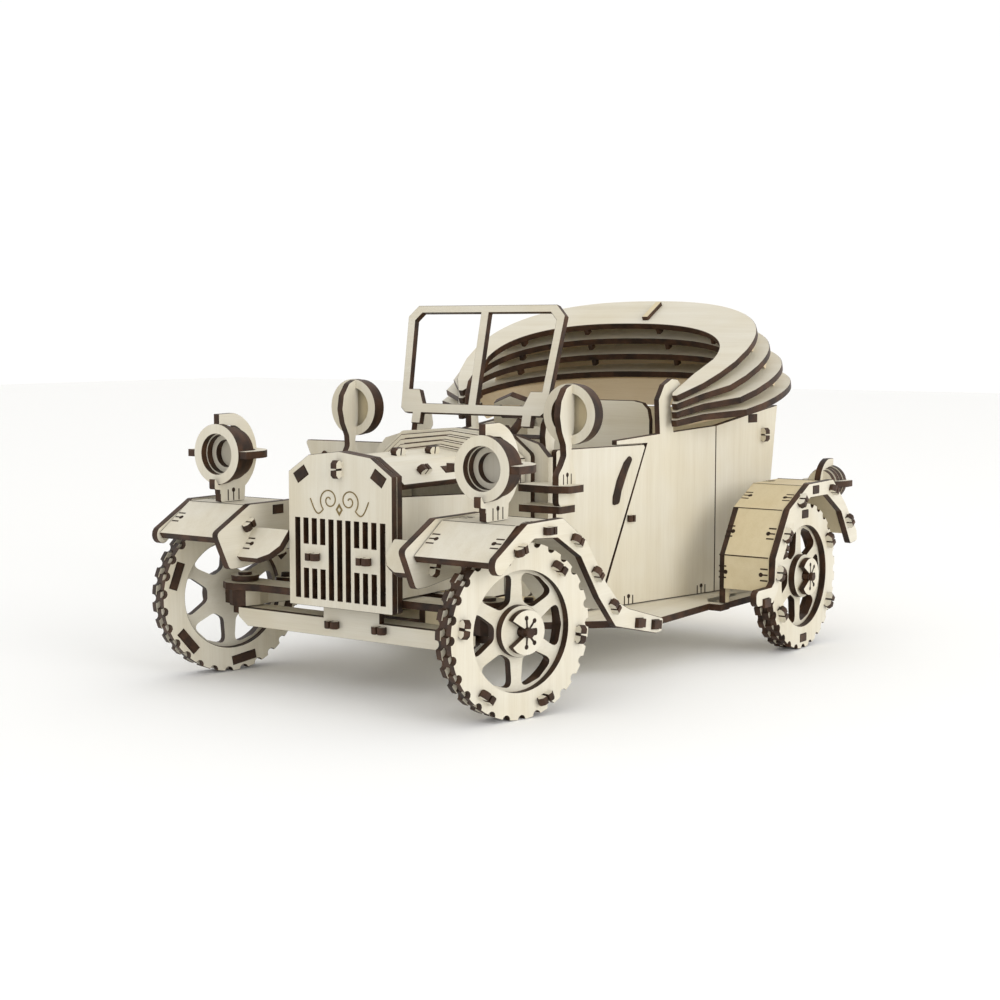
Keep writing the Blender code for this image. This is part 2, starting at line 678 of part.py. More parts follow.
def make_rear_wings():
    outer = [
        (34.8, 28.8), (34.9, 25.2), (36.3, 23.8), (49.6, 23.8), (53.9, 28.5), (56.5, 38.0),
        (66.5, 53.5), (82.1, 62.8), (98.6, 62.8), (112.7, 54.6), (122.7, 40.0), (129.9, 40.7),
        (129.0, 45.3), (117.2, 57.6), (104.0, 68.8), (80.8, 68.5), (63.1, 59.7), (51.0, 41.2),
        (50.4, 32.0), (48.0, 30.2), (36.6, 30.2),
    ]
    crown = [
        (51.3, 27.4), (51.6, 41.0), (63.5, 59.0), (81.0, 67.6), (103.6, 67.9), (116.6, 57.0), (127.5, 45.6),
    ]
    lower = [(110.5, 53.6), (98.0, 62.6), (82.6, 62.6), (67.0, 55.0), (57.0, 39.6), (56.0, 21.4)]
    inner = [(52.4, 21.4), (52.4, 41.0)] + crown[2:-1] + lower
    for side, word in ((1, "left"), (-1, "right")):
        plate(f"wing_rear_outer_{word}", [outer], side_frame(side * (REAR_WING_OUT_X + PLY / 2)))
        span_in = REAR_WING_IN_X + PLY
        span_out = REAR_WING_OUT_X - GAP
        middle = side * (span_in + span_out) / 2
        width = span_out - span_in
        name = f"wing_rear_crown_{word}"
        top = mesh_plate(name, [strip_section(crown)], side_frame(middle), thickness=width)
        inner_x = side * (REAR_WING_IN_X + PLY / 2 + 0.2)
        join(top, mesh_plate(f"{name}_inner", [inner], side_frame(inner_x)))


# ---------------------------------------------------------------- lamps

def lamp_shell(name, radius, centre, facing):
    """Stack of rings closed at the back, turned about its axis; it faces -Y for facing 1."""
    profile = [
        (0.0, 10.8), (radius * 0.72, 10.8), (radius * 0.72, 8.1), (radius * 0.9, 8.1),
        (radius * 0.9, PLY), (radius, PLY), (radius, 0.0), (radius * 0.68, 0.0), (radius * 0.68, 5.4),
        (radius * 0.48, 5.4), (radius * 0.48, 8.1), (0.0, 8.1),
    ]
    mesh = bpy.data.meshes.new(name)
    shape = bmesh.new()
    ring = [shape.verts.new((r * MM, 0.0, -depth * MM)) for r, depth in profile]
    edges = [shape.edges.new((ring[i], ring[i + 1])) for i in range(len(ring) - 1)]
    bmesh.ops.spin(
        shape, geom=ring + edges, cent=(0, 0, 0), axis=(0, 0, 1), angle=2 * math.pi, steps=16,
        use_duplicate=False,
    )
    bmesh.ops.remove_doubles(shape, verts=shape.verts, dist=1e-6)
    bmesh.ops.recalc_face_normals(shape, faces=shape.faces)
    shape.to_mesh(mesh)
    shape.free()
    obj = bpy.data.objects.new(name, mesh)
    car.objects.link(obj)
    place = frame(centre, (facing, 0, 0), (0, 0, 1))
    return finish_piece(obj, place, root, "birch_face")


def fin_outline(outer, inner, front):
    """C-shaped fin that wraps the lamp: open towards the front, at negative X here."""
    points = [(front, outer * 0.98)] + arc(0, 0, outer, 80, -80, 9) + [(front, -outer * 0.98)]
    points += [(front, -inner)] + arc(0, 0, inner, -70, 70, 7) + [(front, inner)]
    return points


def make_headlamps():
    x, y, z = HEADLAMP
    depth = 4.0
    for side, word in ((1, "left"), (-1, "right")):
        lamp = lamp_shell(f"headlamp_{word}", LAMP_R, (side * x, y, z), 1)
        upright = [(y + depth + u, z + v) for u, v in fin_outline(14.8, LAMP_R - 0.4, -3.8)]
        place = side_frame(side * x)
        join(lamp, mesh_plate(f"headlamp_fin_{word}", [upright], place))
        foot = box(-94.9, 66.6, -84.9, z - LAMP_R + 2.3)
        join(lamp, mesh_plate(f"headlamp_foot_{word}", [foot], place))
        level = [(side * x + v, y + depth + u) for u, v in fin_outline(14.6, LAMP_R - 0.7, -3.6)]
        join(lamp, mesh_plate(f"headlamp_level_{word}", [list(reversed(level))], flat_frame(z)))


def make_side_lamps():
    """Ring and disc on a curved post that stands through a horizontal arm."""
    x, y, z = SIDE_LAMP
    for side, word in ((1, "left"), (-1, "right")):
        post_points = [
            (-26.0, z + 10.8), (-30.4, z + 7.5), (-33.2, z), (-32.4, z - 8.0), (-32.0, z - 14.0),
            (-36.4, z - 22.0), (-36.4, 66.2), (-25.0, 66.2), (-25.0, z - 22.0), (-27.2, z - 14.0),
            (-26.0, z - 8.0),
        ]
        name = f"side_lamp_{word}"
        post = mesh_plate(name, [post_points], side_frame(side * x))
        rim_loops = [circle(LAMP_R, 24, side * x, z), circle(6.9, 18, side * x, z)]
        ring = mesh_plate(f"{name}_ring", rim_loops, front_frame(y - 0.2))
        disc = mesh_plate(f"{name}_disc", [circle(8.6, 18, side * x, z)], front_frame(y + PLY - 0.4))
        arm_points = [(35.4, -38.0), (50.0, -39.0), (57.0, -35.0), (57.0, -25.7), (35.4, -25.7)]
        low_points = [(35.4, -37.5), (54.0, -37.5), (54.0, -26.5), (35.4, -26.5)]
        arm = mesh_plate(f"{name}_arm", [[(side * px, py) for px, py in arm_points]], flat_frame(72.6))
        low = mesh_plate(f"{name}_low", [[(side * px, py) for px, py in low_points]], flat_frame(65.0))
        join(post, ring, disc, arm, low)


def make_tail_lamps():
    x, y, z = TAIL_LAMP
    radius = TAIL_LAMP_R
    depth = 3.0
    for side, word in ((1, "left"), (-1, "right")):
        lamp = lamp_shell(f"tail_lamp_{word}", radius, (side * x, y, z), -1)
        upright = [(y - depth - u, z + v) for u, v in fin_outline(10.6, radius - 0.4, -2.9)]
        join(lamp, mesh_plate(f"tail_lamp_fin_{word}", [list(reversed(upright))], side_frame(side * x)))
        level = [(side * x + v, y - depth - u) for u, v in fin_outline(10.4, radius - 0.7, -2.7)]
        join(lamp, mesh_plate(f"tail_lamp_level_{word}", [level], flat_frame(z)))
        foot = [(y - 14.5, z - 4.6), (y - 9.6, z - 9.2), (y - 6.0, z - 4.0), (y - 9.0, z + 1.0)]
        join(lamp, mesh_plate(f"tail_lamp_foot_{word}", [foot], side_frame(side * x)))


clear_scene()
car = new_collection("wooden_touring_car")
helpers = new_collection("cutters")
materials = {name: make_material(name, *look) for name, look in MATERIALS.items()}
root = make_empty("car_origin", Matrix.Translation((0, -CENTRE_Y * MM, 0)))

for side_sign, side_word in ((1, "left"), (-1, "right")):
    make_front_corner(side_sign, side_word)
make_tie_rod()
make_rear_axle()
make_front_axle()
make_chassis()
make_radiator()
make_bonnet()
make_scuttle()
make_windscreen()
make_steering_wheel()
make_body()
make_seat()
make_bows()
make_front_wings()
make_rear_wings()
make_headlamps()
make_side_lamps()
make_tail_lamps()
bpy.context.view_layer.update()
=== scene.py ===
"""Looks of the slot-together plywood touring car: birch faces, burnt edges, pegs and marks.

Lengths are in millimetres; MM turns them into metres. The working frame is the CAD model's:
+X the car's left, -Y its front, Z = 0 the table, Y = 0 midway between the axles.
"""
import json
import math

import bmesh
import bpy
from mathutils import Matrix, Vector


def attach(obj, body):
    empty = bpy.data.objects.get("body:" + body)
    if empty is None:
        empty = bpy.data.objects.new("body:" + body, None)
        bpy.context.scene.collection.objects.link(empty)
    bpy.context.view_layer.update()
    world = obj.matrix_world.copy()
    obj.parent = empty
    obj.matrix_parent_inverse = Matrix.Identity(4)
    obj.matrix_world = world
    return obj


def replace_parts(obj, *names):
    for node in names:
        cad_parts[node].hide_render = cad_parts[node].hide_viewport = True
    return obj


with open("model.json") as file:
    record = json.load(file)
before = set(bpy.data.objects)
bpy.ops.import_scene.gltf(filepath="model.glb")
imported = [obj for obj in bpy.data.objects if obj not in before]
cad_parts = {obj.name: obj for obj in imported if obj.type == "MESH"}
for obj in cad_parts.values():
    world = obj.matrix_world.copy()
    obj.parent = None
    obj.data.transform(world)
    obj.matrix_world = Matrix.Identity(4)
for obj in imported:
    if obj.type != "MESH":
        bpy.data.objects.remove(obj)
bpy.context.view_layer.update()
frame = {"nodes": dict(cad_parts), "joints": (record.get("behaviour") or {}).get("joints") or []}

MM = 0.001
PLY = 2.7                      # thickness of a plate
PITCH = 3.0                    # between the middles of two stacked plates
SIDES = ((1, "left"), (-1, "right"))
CHASSIS = "chassis"

JOINTS = {joint["name"]: joint for joint in frame["joints"]}


def joint_point(name):
    """Where a joint's axis stands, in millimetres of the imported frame."""
    return Vector(JOINTS[name]["pos_m"]) / MM


FRONT_AXLE = joint_point("steer_left")
REAR_AXLE = joint_point("spin_rear_left")
CENTRE_Y = -(FRONT_AXLE.y + REAR_AXLE.y) / 2

# Wheels
WHEEL_R = 30.0
RIM_R = 20.8
NOTCHES = 28
NOTCH_R = 1.6
INNER_RING_TURN = 0.35         # shares of a notch pitch by which the inner ply and the disc are turned
DISC_TURN = 0.68
SPOKES = 6
HUB_R = 8.8
CLIP_R = 7.6
CLIP_THICKNESS = 2.4
CLIP_SLOT_ANGLES = (86, 130, 230, 274)
DOWEL_R = 1.7
PEG_RING_R = 25.6
FRONT_PEG_SHIFT = {1: -8, -1: 20}      # degrees by which a side's ring of pegs is turned
REAR_PEG_ANGLES = [30, 150, 210, 330]
REAR_TAB_ANGLES = [90, 270]

# Body planes that details lie on
RADIATOR_FACE_Y = -97.5
BEAM_FACE_Y = -91.5
FLARE_X0 = 38.29
FLARE = 0.2257
POST_Y = 50.9
WING_OUT_FACE_X = 78.2
WING_IN_FACE_X = 41.3
REAR_WING_FACE_X = 97.5
FLOOR_TOP = 21.0

# Folded hood: tilt in degrees, height, half width and reach of each bow, from the top down
BOWS = [
    (29.0, 106.0, 68.8, 77.4),
    (23.6, 102.4, 73.2, 82.0),
    (18.6, 98.8, 77.6, 87.0),
    (13.6, 95.2, 80.2, 92.0),
]
BOW_SIDE_W = 12.0
BOW_BACK_W = 21.0
BOW_STRAIGHT = 34.0            # how far back from the posts a bow's outer edge starts to curve
BOW_INNER_STRAIGHT = 26.0
BOW_ROUNDNESS = 0.84           # exponent of the curve; 1 would be a half ellipse
BOW_STEPS = 48
HOOK_ANGLES = (40, 76, 112, 148)
LINING_THICKNESS = 0.8
LINING_INSET = 6.5
LINING_OVERLAP = 0.2           # how far a lining runs into the bows that it joins
RIM_BACK_Y = 115.0             # top edge of the body behind the hood's posts
RIM_FRONT_Z = 90.0
RIM_RISE = 0.11

# Lamps: centre, radii of the rings and the fins, and how far back the fins' middle lies
HEADLAMP = (60.9, -96.1, 84.4)
HEADLAMP_R = 11.3
HEADLAMP_FIN_R = 15.4
HEADLAMP_DEPTH = 5.2
SIDE_LAMP = (51.5, -25.4, 99.7)
SIDE_LAMP_R = 11.3
SIDE_LAMP_HOLE_R = 7.8
SIDE_LAMP_DISC_R = 11.0
TAIL_LAMP = (86.0, 127.0, 65.5)
TAIL_LAMP_R = 7.4
TAIL_LAMP_FIN_R = 10.6
TAIL_LAMP_DEPTH = 3.2

# Kingpins: middle heights of the washer and of the dowel end above it
WASHER_Z = 37.3
PIN_END_Z = 38.9

# Camera: where it stands, how it looks, and its lens
CAMERA_AT = (400.0, -570.0, 130.5)
CAMERA_AZIMUTH = 34.98
CAMERA_ELEVATION = 5.54
CAMERA_LENS = 63.05
SENSOR_WIDTH = 36.0

# Stage and light, in metres
STAGE_SIZE = 6.0
STAGE_DROP = 0.00005
STAGE_COLOUR = (0.94, 0.94, 0.93, 1.0)
SKY_COLOUR = (1.0, 0.995, 0.985, 1.0)
SKY_STRENGTH = 1.02
KEY_AT = (1.7, -0.3, 0.6)
KEY_TARGET = (0, 0, 0.05)
KEY_SIZE = 1.0
KEY_POWER = 11.0

# Edges and burnt lines
EDGE_BEVEL = 0.2
BEVEL_FROM = 48.0              # degrees between two faces from which their edge is broken
SHARP_FROM = 32.0              # degrees from which the shading has an edge
MARK_THICKNESS = 0.07
MARK_LIFT = 0.02               # how far a mark lies above its surface
CUT_HALF = 0.3                 # half the width of a relief cut
SEAM_HALF = 0.25
STRAIGHT_FROM = 172.0          # a corner as flat as this isn't rounded
FACE_MIN_WIDTH = 3.15          # a flat patch narrower than this is a plate's burnt edge

# CAD nodes that differ from the rest: direction of the grain, narrowest face, bevel, and a warmer, darker
# birch that is partly painted shade
GRAIN_BY_NODE = {
    "bonnet": "y", "floor_plate": "y", "tie_rod": "x", "axle_top_plate": "x", "front_axle_beam": "x",
    "rear_axle": "x", "seat": "x", "windscreen_frame": "x",
}
MIN_WIDTH_BY_NODE = {"cowl_steps": 1.2}
BEVEL_BY_NODE = {"cowl_steps": 0.28}
# Plates that take the warmer, darker birch: partly their own warmer tone, partly painted shade, such as
# the chassis rails' shade under the car and the rear crowns' duller tops
WARM_AND_SHADED_NODES = ("wing_rear_crown", "chassis_rail", "back_panel")


# ---------------------------------------------------------------- materials

WHITE = (1.0, 1.0, 1.0)
VENEER_PALE = (0.70, 0.662, 0.560)
VENEER_DEEP = (0.66, 0.615, 0.505)
FIBRE_SHADE = (0.84, 0.80, 0.73)
SMOKE_SHADE = (0.95, 0.92, 0.85)
GRIT_SHADE = (0.78, 0.76, 0.74)
CHAR_DARK = (0.020, 0.010, 0.005)
SPECULAR = 0.28
GRAIN_STRETCH = {"x": (0.03, 1.0, 1.0), "y": (1.0, 0.03, 1.0), "z": (1.0, 1.0, 0.03)}


def new_material(name, roughness):
    """A material with its node tree and its shader."""
    material = bpy.data.materials.new(name)
    material.use_nodes = True
    shader = material.node_tree.nodes["Principled BSDF"]
    shader.inputs["Roughness"].default_value = roughness
    shader.inputs["Specular IOR Level"].default_value = SPECULAR
    return material, material.node_tree, shader


def noise(tree, scale, detail, stretch=(1.0, 1.0, 1.0)):
    """Noise in object coordinates: scale repeats per metre, less along an axis that is stretched."""
    place = tree.nodes.new("ShaderNodeTexCoord")
    mapping = tree.nodes.new("ShaderNodeMapping")
    mapping.inputs["Scale"].default_value = [scale * s for s in stretch]
    texture = tree.nodes.new("ShaderNodeTexNoise")
    texture.inputs["Scale"].default_value = 1.0
    texture.inputs["Detail"].default_value = detail
    tree.links.new(place.outputs["Object"], mapping.inputs["Vector"])
    tree.links.new(mapping.outputs["Vector"], texture.inputs["Vector"])
    return texture.outputs["Fac"]


def ramp(tree, value, stops):
    """Colour ramp over a value; stops are (position, colour)."""
    node = tree.nodes.new("ShaderNodeValToRGB")
    elements = node.color_ramp.elements
    while len(elements) < len(stops):
        elements.new(0.5)
    for element, (position, colour) in zip(elements, stops):
        element.position = position
        element.color = (*colour, 1.0)
    tree.links.new(value, node.inputs["Fac"])
    return node.outputs["Color"]


def blend_colours(tree, mode, amount, first, second):
    node = tree.nodes.new("ShaderNodeMix")
    node.data_type = "RGBA"
    node.blend_type = mode
    node.inputs["Factor"].default_value = amount
    tree.links.new(first, node.inputs["A"])
    tree.links.new(second, node.inputs["B"])
    return node.outputs["Result"]


def bump(tree, shader, value, strength, distance):
    """Relief from a value; distance in millimetres."""
    node = tree.nodes.new("ShaderNodeBump")
    node.inputs["Strength"].default_value = strength
    node.inputs["Distance"].default_value = distance * MM
    tree.links.new(value, node.inputs["Height"])
    tree.links.new(node.outputs["Normal"], shader.inputs["Normal"])


def birch(name, grain, tone):
    """Bare birch veneer: fine fibres, soft growth bands and faint smoke stains."""
    material, tree, shader = new_material(name, 0.58)
    pale = [c * t for c, t in zip(VENEER_PALE, tone)]
    deep = [c * t for c, t in zip(VENEER_DEEP, tone)]
    stretch = GRAIN_STRETCH[grain]
    bands = noise(tree, 260.0, 4.0, stretch)
    fibres = noise(tree, 2400.0, 3.0, stretch)
    blotches = noise(tree, 32.0, 2.0)
    colour = ramp(tree, bands, [(0.3, deep), (0.62, pale)])
    streaks = ramp(tree, fibres, [(0.28, FIBRE_SHADE), (0.55, WHITE)])
    stains = ramp(tree, blotches, [(0.3, SMOKE_SHADE), (0.6, WHITE)])
    colour = blend_colours(tree, "MULTIPLY", 0.28, colour, streaks)
    colour = blend_colours(tree, "MULTIPLY", 0.9, colour, stains)
    tree.links.new(colour, shader.inputs["Base Color"])
    bump(tree, shader, fibres, 0.35, 0.05)
    return material


def burnt(name, dark, light, roughness):
    """Laser-cut edge: char with browner streaks where the plies show."""
    material, tree, shader = new_material(name, roughness)
    mottling = noise(tree, 170.0, 3.0)
    fine = noise(tree, 2200.0, 3.0)
    colour = ramp(tree, mottling, [(0.34, dark), (0.72, light)])
    grit = ramp(tree, fine, [(0.3, GRIT_SHADE), (0.6, WHITE)])
    colour = blend_colours(tree, "MULTIPLY", 0.6, colour, grit)
    tree.links.new(colour, shader.inputs["Base Color"])
    bump(tree, shader, fine, 0.4, 0.08)
    return material


EDGE = burnt("burnt_edge", CHAR_DARK, (0.078, 0.035, 0.016), 0.5)
CHAR = burnt("char_line", CHAR_DARK, (0.045, 0.022, 0.011), 0.7)
ENGRAVED = burnt("engraved_line", (0.16, 0.115, 0.04), (0.24, 0.175, 0.07), 0.7)
BIRCH = {axis: birch(f"birch_{axis}", axis, WHITE) for axis in "xyz"}
TAN = birch("birch_tan", "x", (1.02, 0.88, 0.70))
# Warmer, darker copy of the birch: partly a warmer veneer tone, partly painted shade; also used on the
# side lamps' discs and the hood's top tab
WARM_AND_SHADED_BIRCH = {axis: birch(f"birch_warm_and_shaded_{axis}", axis, (0.96, 0.88, 0.70)) for axis in "yz"}


# ---------------------------------------------------------------- outlines

def arc(cx, cy, radius, start, end, count):
    """Points along an arc, both ends included; angles in degrees."""
    points = []
    for i in range(count):
        a = math.radians(start + (end - start) * i / (count - 1))
        points.append((cx + radius * math.cos(a), cy + radius * math.sin(a)))
    return points


def circle(radius, count=48, cx=0.0, cy=0.0):
    """A closed circle as an outline; its last point doesn't repeat the first."""
    return arc(cx, cy, radius, 0.0, 360.0 * (count - 1) / count, count)


def box(x0, y0, x1, y1):
    return [(x0, y0), (x1, y0), (x1, y1), (x0, y1)]


def rounded(points, radius, steps=5):
    """The outline with each corner rounded, as far as its edges allow."""
    result = []
    count = len(points)
    for i in range(count):
        here = Vector(points[i])
        before = Vector(points[i - 1]) - here
        after = Vector(points[(i + 1) % count]) - here
        turn = before.angle(after)
        if turn > math.radians(STRAIGHT_FROM):
            result.append(tuple(here))
            continue
        reach = min(radius / math.tan(turn / 2), before.length * 0.45, after.length * 0.45)
        start = here + before.normalized() * reach
        end = here + after.normalized() * reach
        for k in range(steps + 1):
            t = k / steps
            point = start * (1 - t) ** 2 + here * 2 * t * (1 - t) + end * t ** 2
            result.append((point.x, point.y))
    return result


def notched_circle(radius, turn):
    """A circle bitten all round by small round notches; turn shifts them by a share of a pitch."""
    points = []
    pitch = 360.0 / NOTCHES
    half = math.degrees(NOTCH_R / radius)
    for i in range(NOTCHES):
        middle = (i + turn) * pitch
        a = math.radians(middle)
        points += arc(0, 0, radius, middle - pitch + half, middle - half, 4)
        bite = arc(radius * math.cos(a), radius * math.sin(a), NOTCH_R, middle - 88, middle - 272, 7)
        points += bite[1:-1]
    return points


def spoke_window(index):
    """One rounded opening between two spokes."""
    middle = 360.0 / SPOKES * index
    inner = arc(0, 0, 9.9, middle - 14, middle + 14, 2)
    outer = arc(0, 0, RIM_R - 0.7, middle + 24.5, middle - 24.5, 3)
    return rounded(inner + outer, 3.0)


# ---------------------------------------------------------------- building pieces

def place(origin, x_axis, y_axis):
    """Matrix of a flat piece at a point of the working frame: outline in X and Y, thickness along Z."""
    x = Vector(x_axis).normalized()
    y = Vector(y_axis).normalized()
    matrix = Matrix((x, y, x.cross(y))).transposed().to_4x4()
    matrix.translation = (Vector(origin) - Vector((0, CENTRE_Y, 0))) * MM
    return matrix


def side_place(x):
    """For an outline in (Y, Z) that stands at x."""
    return place((x, 0, 0), (0, 1, 0), (0, 0, 1))


def front_place(y):
    """For an outline in (X, Z) that stands at y."""
    return place((0, y, 0), (1, 0, 0), (0, 0, 1))


def flat_place(z):
    """For an outline in (X, Y) that lies at z."""
    return place((0, 0, z), (1, 0, 0), (0, 1, 0))


def lift(distance):
    return Matrix.Translation((0, 0, distance * MM))


def turned_to(points, sign):
    """The outline anticlockwise for sign 1, clockwise for sign -1."""
    area = sum(a[0] * b[1] - b[0] * a[1] for a, b in zip(points, points[1:] + points[:1]))
    return points if area * sign > 0 else list(reversed(points))


def mesh_from_curve(data):
    """The surface of a curve as a mesh without materials; the curve itself is removed."""
    holder = bpy.data.objects.new("outline", data)
    bpy.context.scene.collection.objects.link(holder)
    bpy.context.view_layer.update()
    graph = bpy.context.evaluated_depsgraph_get()
    mesh = bpy.data.meshes.new_from_object(holder.evaluated_get(graph))
    bpy.data.objects.remove(holder)
    bpy.data.curves.remove(data)
    mesh.materials.clear()
    return mesh


def plate_mesh(loops, matrix, thickness, materials):
    """A cut plate as bmesh data: faces take the first material, cut edges the second."""
    data = bpy.data.curves.new("outline", "CURVE")
    data.dimensions = "2D"
    data.fill_mode = "BOTH"
    data.extrude = thickness / 2 * MM
    for i, loop in enumerate(loops):
        spline = data.splines.new("POLY")
        spline.points.add(len(loop) - 1)
        for point, (x, y) in zip(spline.points, turned_to(loop, -1 if i else 1)):
            point.co = (x * MM, y * MM, 0.0, 1.0)
        spline.use_cyclic_u = True
    mesh = mesh_from_curve(data)
    shape = bmesh.new()
    shape.from_mesh(mesh)
    bmesh.ops.remove_doubles(shape, verts=shape.verts, dist=1e-6)
    for polygon in shape.faces:
        polygon.normal_update()
        polygon.material_index = 0 if abs(polygon.normal.z) > 0.7 else 1
    shape.transform(matrix)
    for material in materials:
        mesh.materials.append(material)
    shape.to_mesh(mesh)
    shape.free()
    return mesh


def joined(meshes, name):
    """One mesh from several that may use different materials."""
    shape = bmesh.new()
    result = bpy.data.meshes.new(name)
    for mesh in meshes:
        slots = []
        for material in mesh.materials:
            if material.name not in result.materials:
                result.materials.append(material)
            slots.append(result.materials.find(material.name))
        start = len(shape.faces)
        shape.from_mesh(mesh)
        shape.faces.ensure_lookup_table()
        for polygon in shape.faces[start:]:
            polygon.material_index = slots[polygon.material_index]
        bpy.data.meshes.remove(mesh)
    shape.to_mesh(result)
    shape.free()
    return result


def soften(obj, width=EDGE_BEVEL, material=1):
    """Dissolve flat tessellation and break the edges with a fine burnt bevel."""
    flat = obj.modifiers.new("Flat", "DECIMATE")
    flat.decimate_type = "DISSOLVE"
    flat.angle_limit = math.radians(0.6)
    flat.delimit = {"MATERIAL"}
    bevel = obj.modifiers.new("Edges", "BEVEL")
    bevel.width = width * MM
    bevel.segments = 1
    bevel.limit_method = "ANGLE"
    bevel.angle_limit = math.radians(BEVEL_FROM)
    bevel.material = material
    bevel.use_clamp_overlap = True


def piece(name, meshes, body, bevel=EDGE_BEVEL):
    """The meshes as one named piece that moves with a body."""
    mesh = joined(meshes, name)
    mesh.shade_smooth()
    mesh.set_sharp_from_angle(angle=math.radians(SHARP_FROM))
    obj = bpy.data.objects.new(name, mesh)
    bpy.context.scene.collection.objects.link(obj)
    if bevel:
        soften(obj, bevel, max(0, mesh.materials.find(EDGE.name)))
    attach(obj, body)
    return obj


PEG_OUTLINE = [
    (-2.7, -0.4), (2.7, -0.4), (2.7, 0.5), (3.25, 1.0), (3.25, 1.9), (2.1, 3.0), (0.35, 3.0),
    (0.35, 0.15), (-0.35, 0.15), (-0.35, 3.0), (-2.1, 3.0), (-3.25, 1.9), (-3.25, 1.0), (-2.7, 0.5),
]


def peg(at, along, out, size=1.0):
    """Split end of a locking tab: along is its width, out the way it stands up."""
    outline = [(x * size, y * size) for x, y in PEG_OUTLINE]
    return plate_mesh([outline], place(at, along, out), PLY, [BIRCH["z"], EDGE])


def tab(at, along, out, width=5.4, height=2.9, proud=0.3):
    """Burnt end of a tab that fills its slot and stands proud, and the dark gap round it."""
    across = Vector(out).normalized().cross(Vector(along).normalized())
    matrix = place(at, along, across)
    outline = box(-width / 2, -height / 2, width / 2, height / 2)
    x = width / 2 + CUT_HALF
    y = height / 2 + CUT_HALF
    block = plate_mesh([outline], matrix, 2 * proud, [EDGE, EDGE])
    gap = plate_mesh([box(-x, -y, x, y)], matrix, 0.08, [CHAR, CHAR])
    return [block, gap]


def mark(loop, matrix):
    """A burnt cut line, as a thin dark sheet on the surface."""
    return plate_mesh([loop], matrix, MARK_THICKNESS, [CHAR, CHAR])


def keyhole_group(matrix, spacing=2.3, length=3.3):
    """Two relief cuts and a keyhole slot between them, running in from an edge along local Y."""
    marks = []
    for x in (-spacing, spacing):
        marks.append(mark(box(x - CUT_HALF, 0.0, x + CUT_HALF, length), matrix))
    marks.append(mark(box(-CUT_HALF, 0.0, CUT_HALF, length - 0.4), matrix))
    marks.append(mark(circle(0.9, 14, 0.0, length - 0.3), matrix))
    return marks


def foot_marks(x, y, z, half_thickness, spacing, length):
    """Keyhole groups on both faces of a plate that stands at x."""
    marks = []
    for face in (1, -1):
        at = (x + face * (half_thickness + MARK_LIFT), y, z)
        marks += keyhole_group(place(at, (0, face, 0), (0, 0, 1)), spacing, length)
    return marks


# ---------------------------------------------------------------- CAD nodes

def touching_groups(mesh, members):
    """Split polygons, given by index, into groups whose corners touch."""
    corner_owner = {}
    parent = {index: index for index in members}

    def top(index):
        while parent[index] != index:
            index = parent[index]
        return index

    for index in members:
        for vertex in mesh.polygons[index].vertices:
            spot = tuple(round(value, 6) for value in mesh.vertices[vertex].co)
            if spot in corner_owner:
                parent[top(index)] = top(corner_owner[spot])
            else:
                corner_owner[spot] = index
    groups = {}
    for index in members:
        groups.setdefault(top(index), []).append(index)
    return list(groups.values())


def flat_patches(mesh):
    """Groups of polygons that lie in one plane and touch, as lists of polygon indexes."""
    planes = {}
    for polygon in mesh.polygons:
        n = polygon.normal
        offset = n.dot(polygon.center) / MM
        plane = (round(n.x, 2), round(n.y, 2), round(n.z, 2), round(offset, 1))
        planes.setdefault(plane, []).append(polygon.index)
    patches = []
    for members in planes.values():
        patches += touching_groups(mesh, members)
    return patches


def patch_width(mesh, patch):
    """Mean width of a flat patch in millimetres: its area over its longest extent."""
    area = sum(mesh.polygons[i].area for i in patch)
    points = [mesh.vertices[v].co for i in patch for v in mesh.polygons[i].vertices]
    longest = max((a - b).length for a in points[::2] for b in points)
    return area / max(longest, 1e-9) / MM


def dress_node(name, grain, warm_and_shaded, min_width):
    """Give a CAD plate its veneer faces and burnt edges; its shape stays as it is."""
    obj = frame["nodes"][name]
    mesh = obj.data
    face = (WARM_AND_SHADED_BIRCH if warm_and_shaded else BIRCH)[grain]
    mesh.materials.clear()
    mesh.materials.append(face)
    mesh.materials.append(EDGE)
    for patch in flat_patches(mesh):
        wide = patch_width(mesh, patch) > min_width
        for index in patch:
            mesh.polygons[index].material_index = 0 if wide else 1
    if "custom_normal" in mesh.attributes:
        mesh.attributes.remove(mesh.attributes["custom_normal"])
    weld = obj.modifiers.new("Weld", "WELD")
    weld.merge_threshold = 0.00001
    soften(obj, BEVEL_BY_NODE.get(name, EDGE_BEVEL))


# ---------------------------------------------------------------- wheels

def clip_outline():
    """Spring clip: a disc with a wedge cut to its centre hole."""
    return arc(0, 0, CLIP_R, 36, 324, 40) + arc(0, 0, DOWEL_R + 0.1, -50, -310, 16)


def make_plies(name, matrix):
    """The notched rings on both sides of the spoked disc, and the small disc on its hub."""
    for ply, offset, turn in (("tyre_outer", PITCH, 0.0), ("tyre_inner", -PITCH, INNER_RING_TURN)):
        ring = [notched_circle(WHEEL_R, turn), circle(RIM_R, 72)]
        mesh = plate_mesh(ring, matrix @ lift(offset), PLY, [BIRCH["z"], EDGE])
        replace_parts(piece(f"{name}_{ply}_ring", [mesh], name), f"{name}_{ply}")
    bore = circle(DOWEL_R + 0.15, 20)
    windows = [spoke_window(i) for i in range(SPOKES)]
    disc_loops = [notched_circle(WHEEL_R - 0.4, DISC_TURN), bore] + windows
    disc = plate_mesh(disc_loops, matrix, PLY + 0.2, [BIRCH["y"], EDGE])
    hub_place = matrix @ lift(PLY + 0.1)
    hub = plate_mesh([circle(HUB_R, 56), bore], hub_place, PLY, [BIRCH["y"], EDGE])
    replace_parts(piece(f"{name}_spokes", [disc], name), f"{name}_spoke_disc")
    piece(f"{name}_hub", [hub], name)


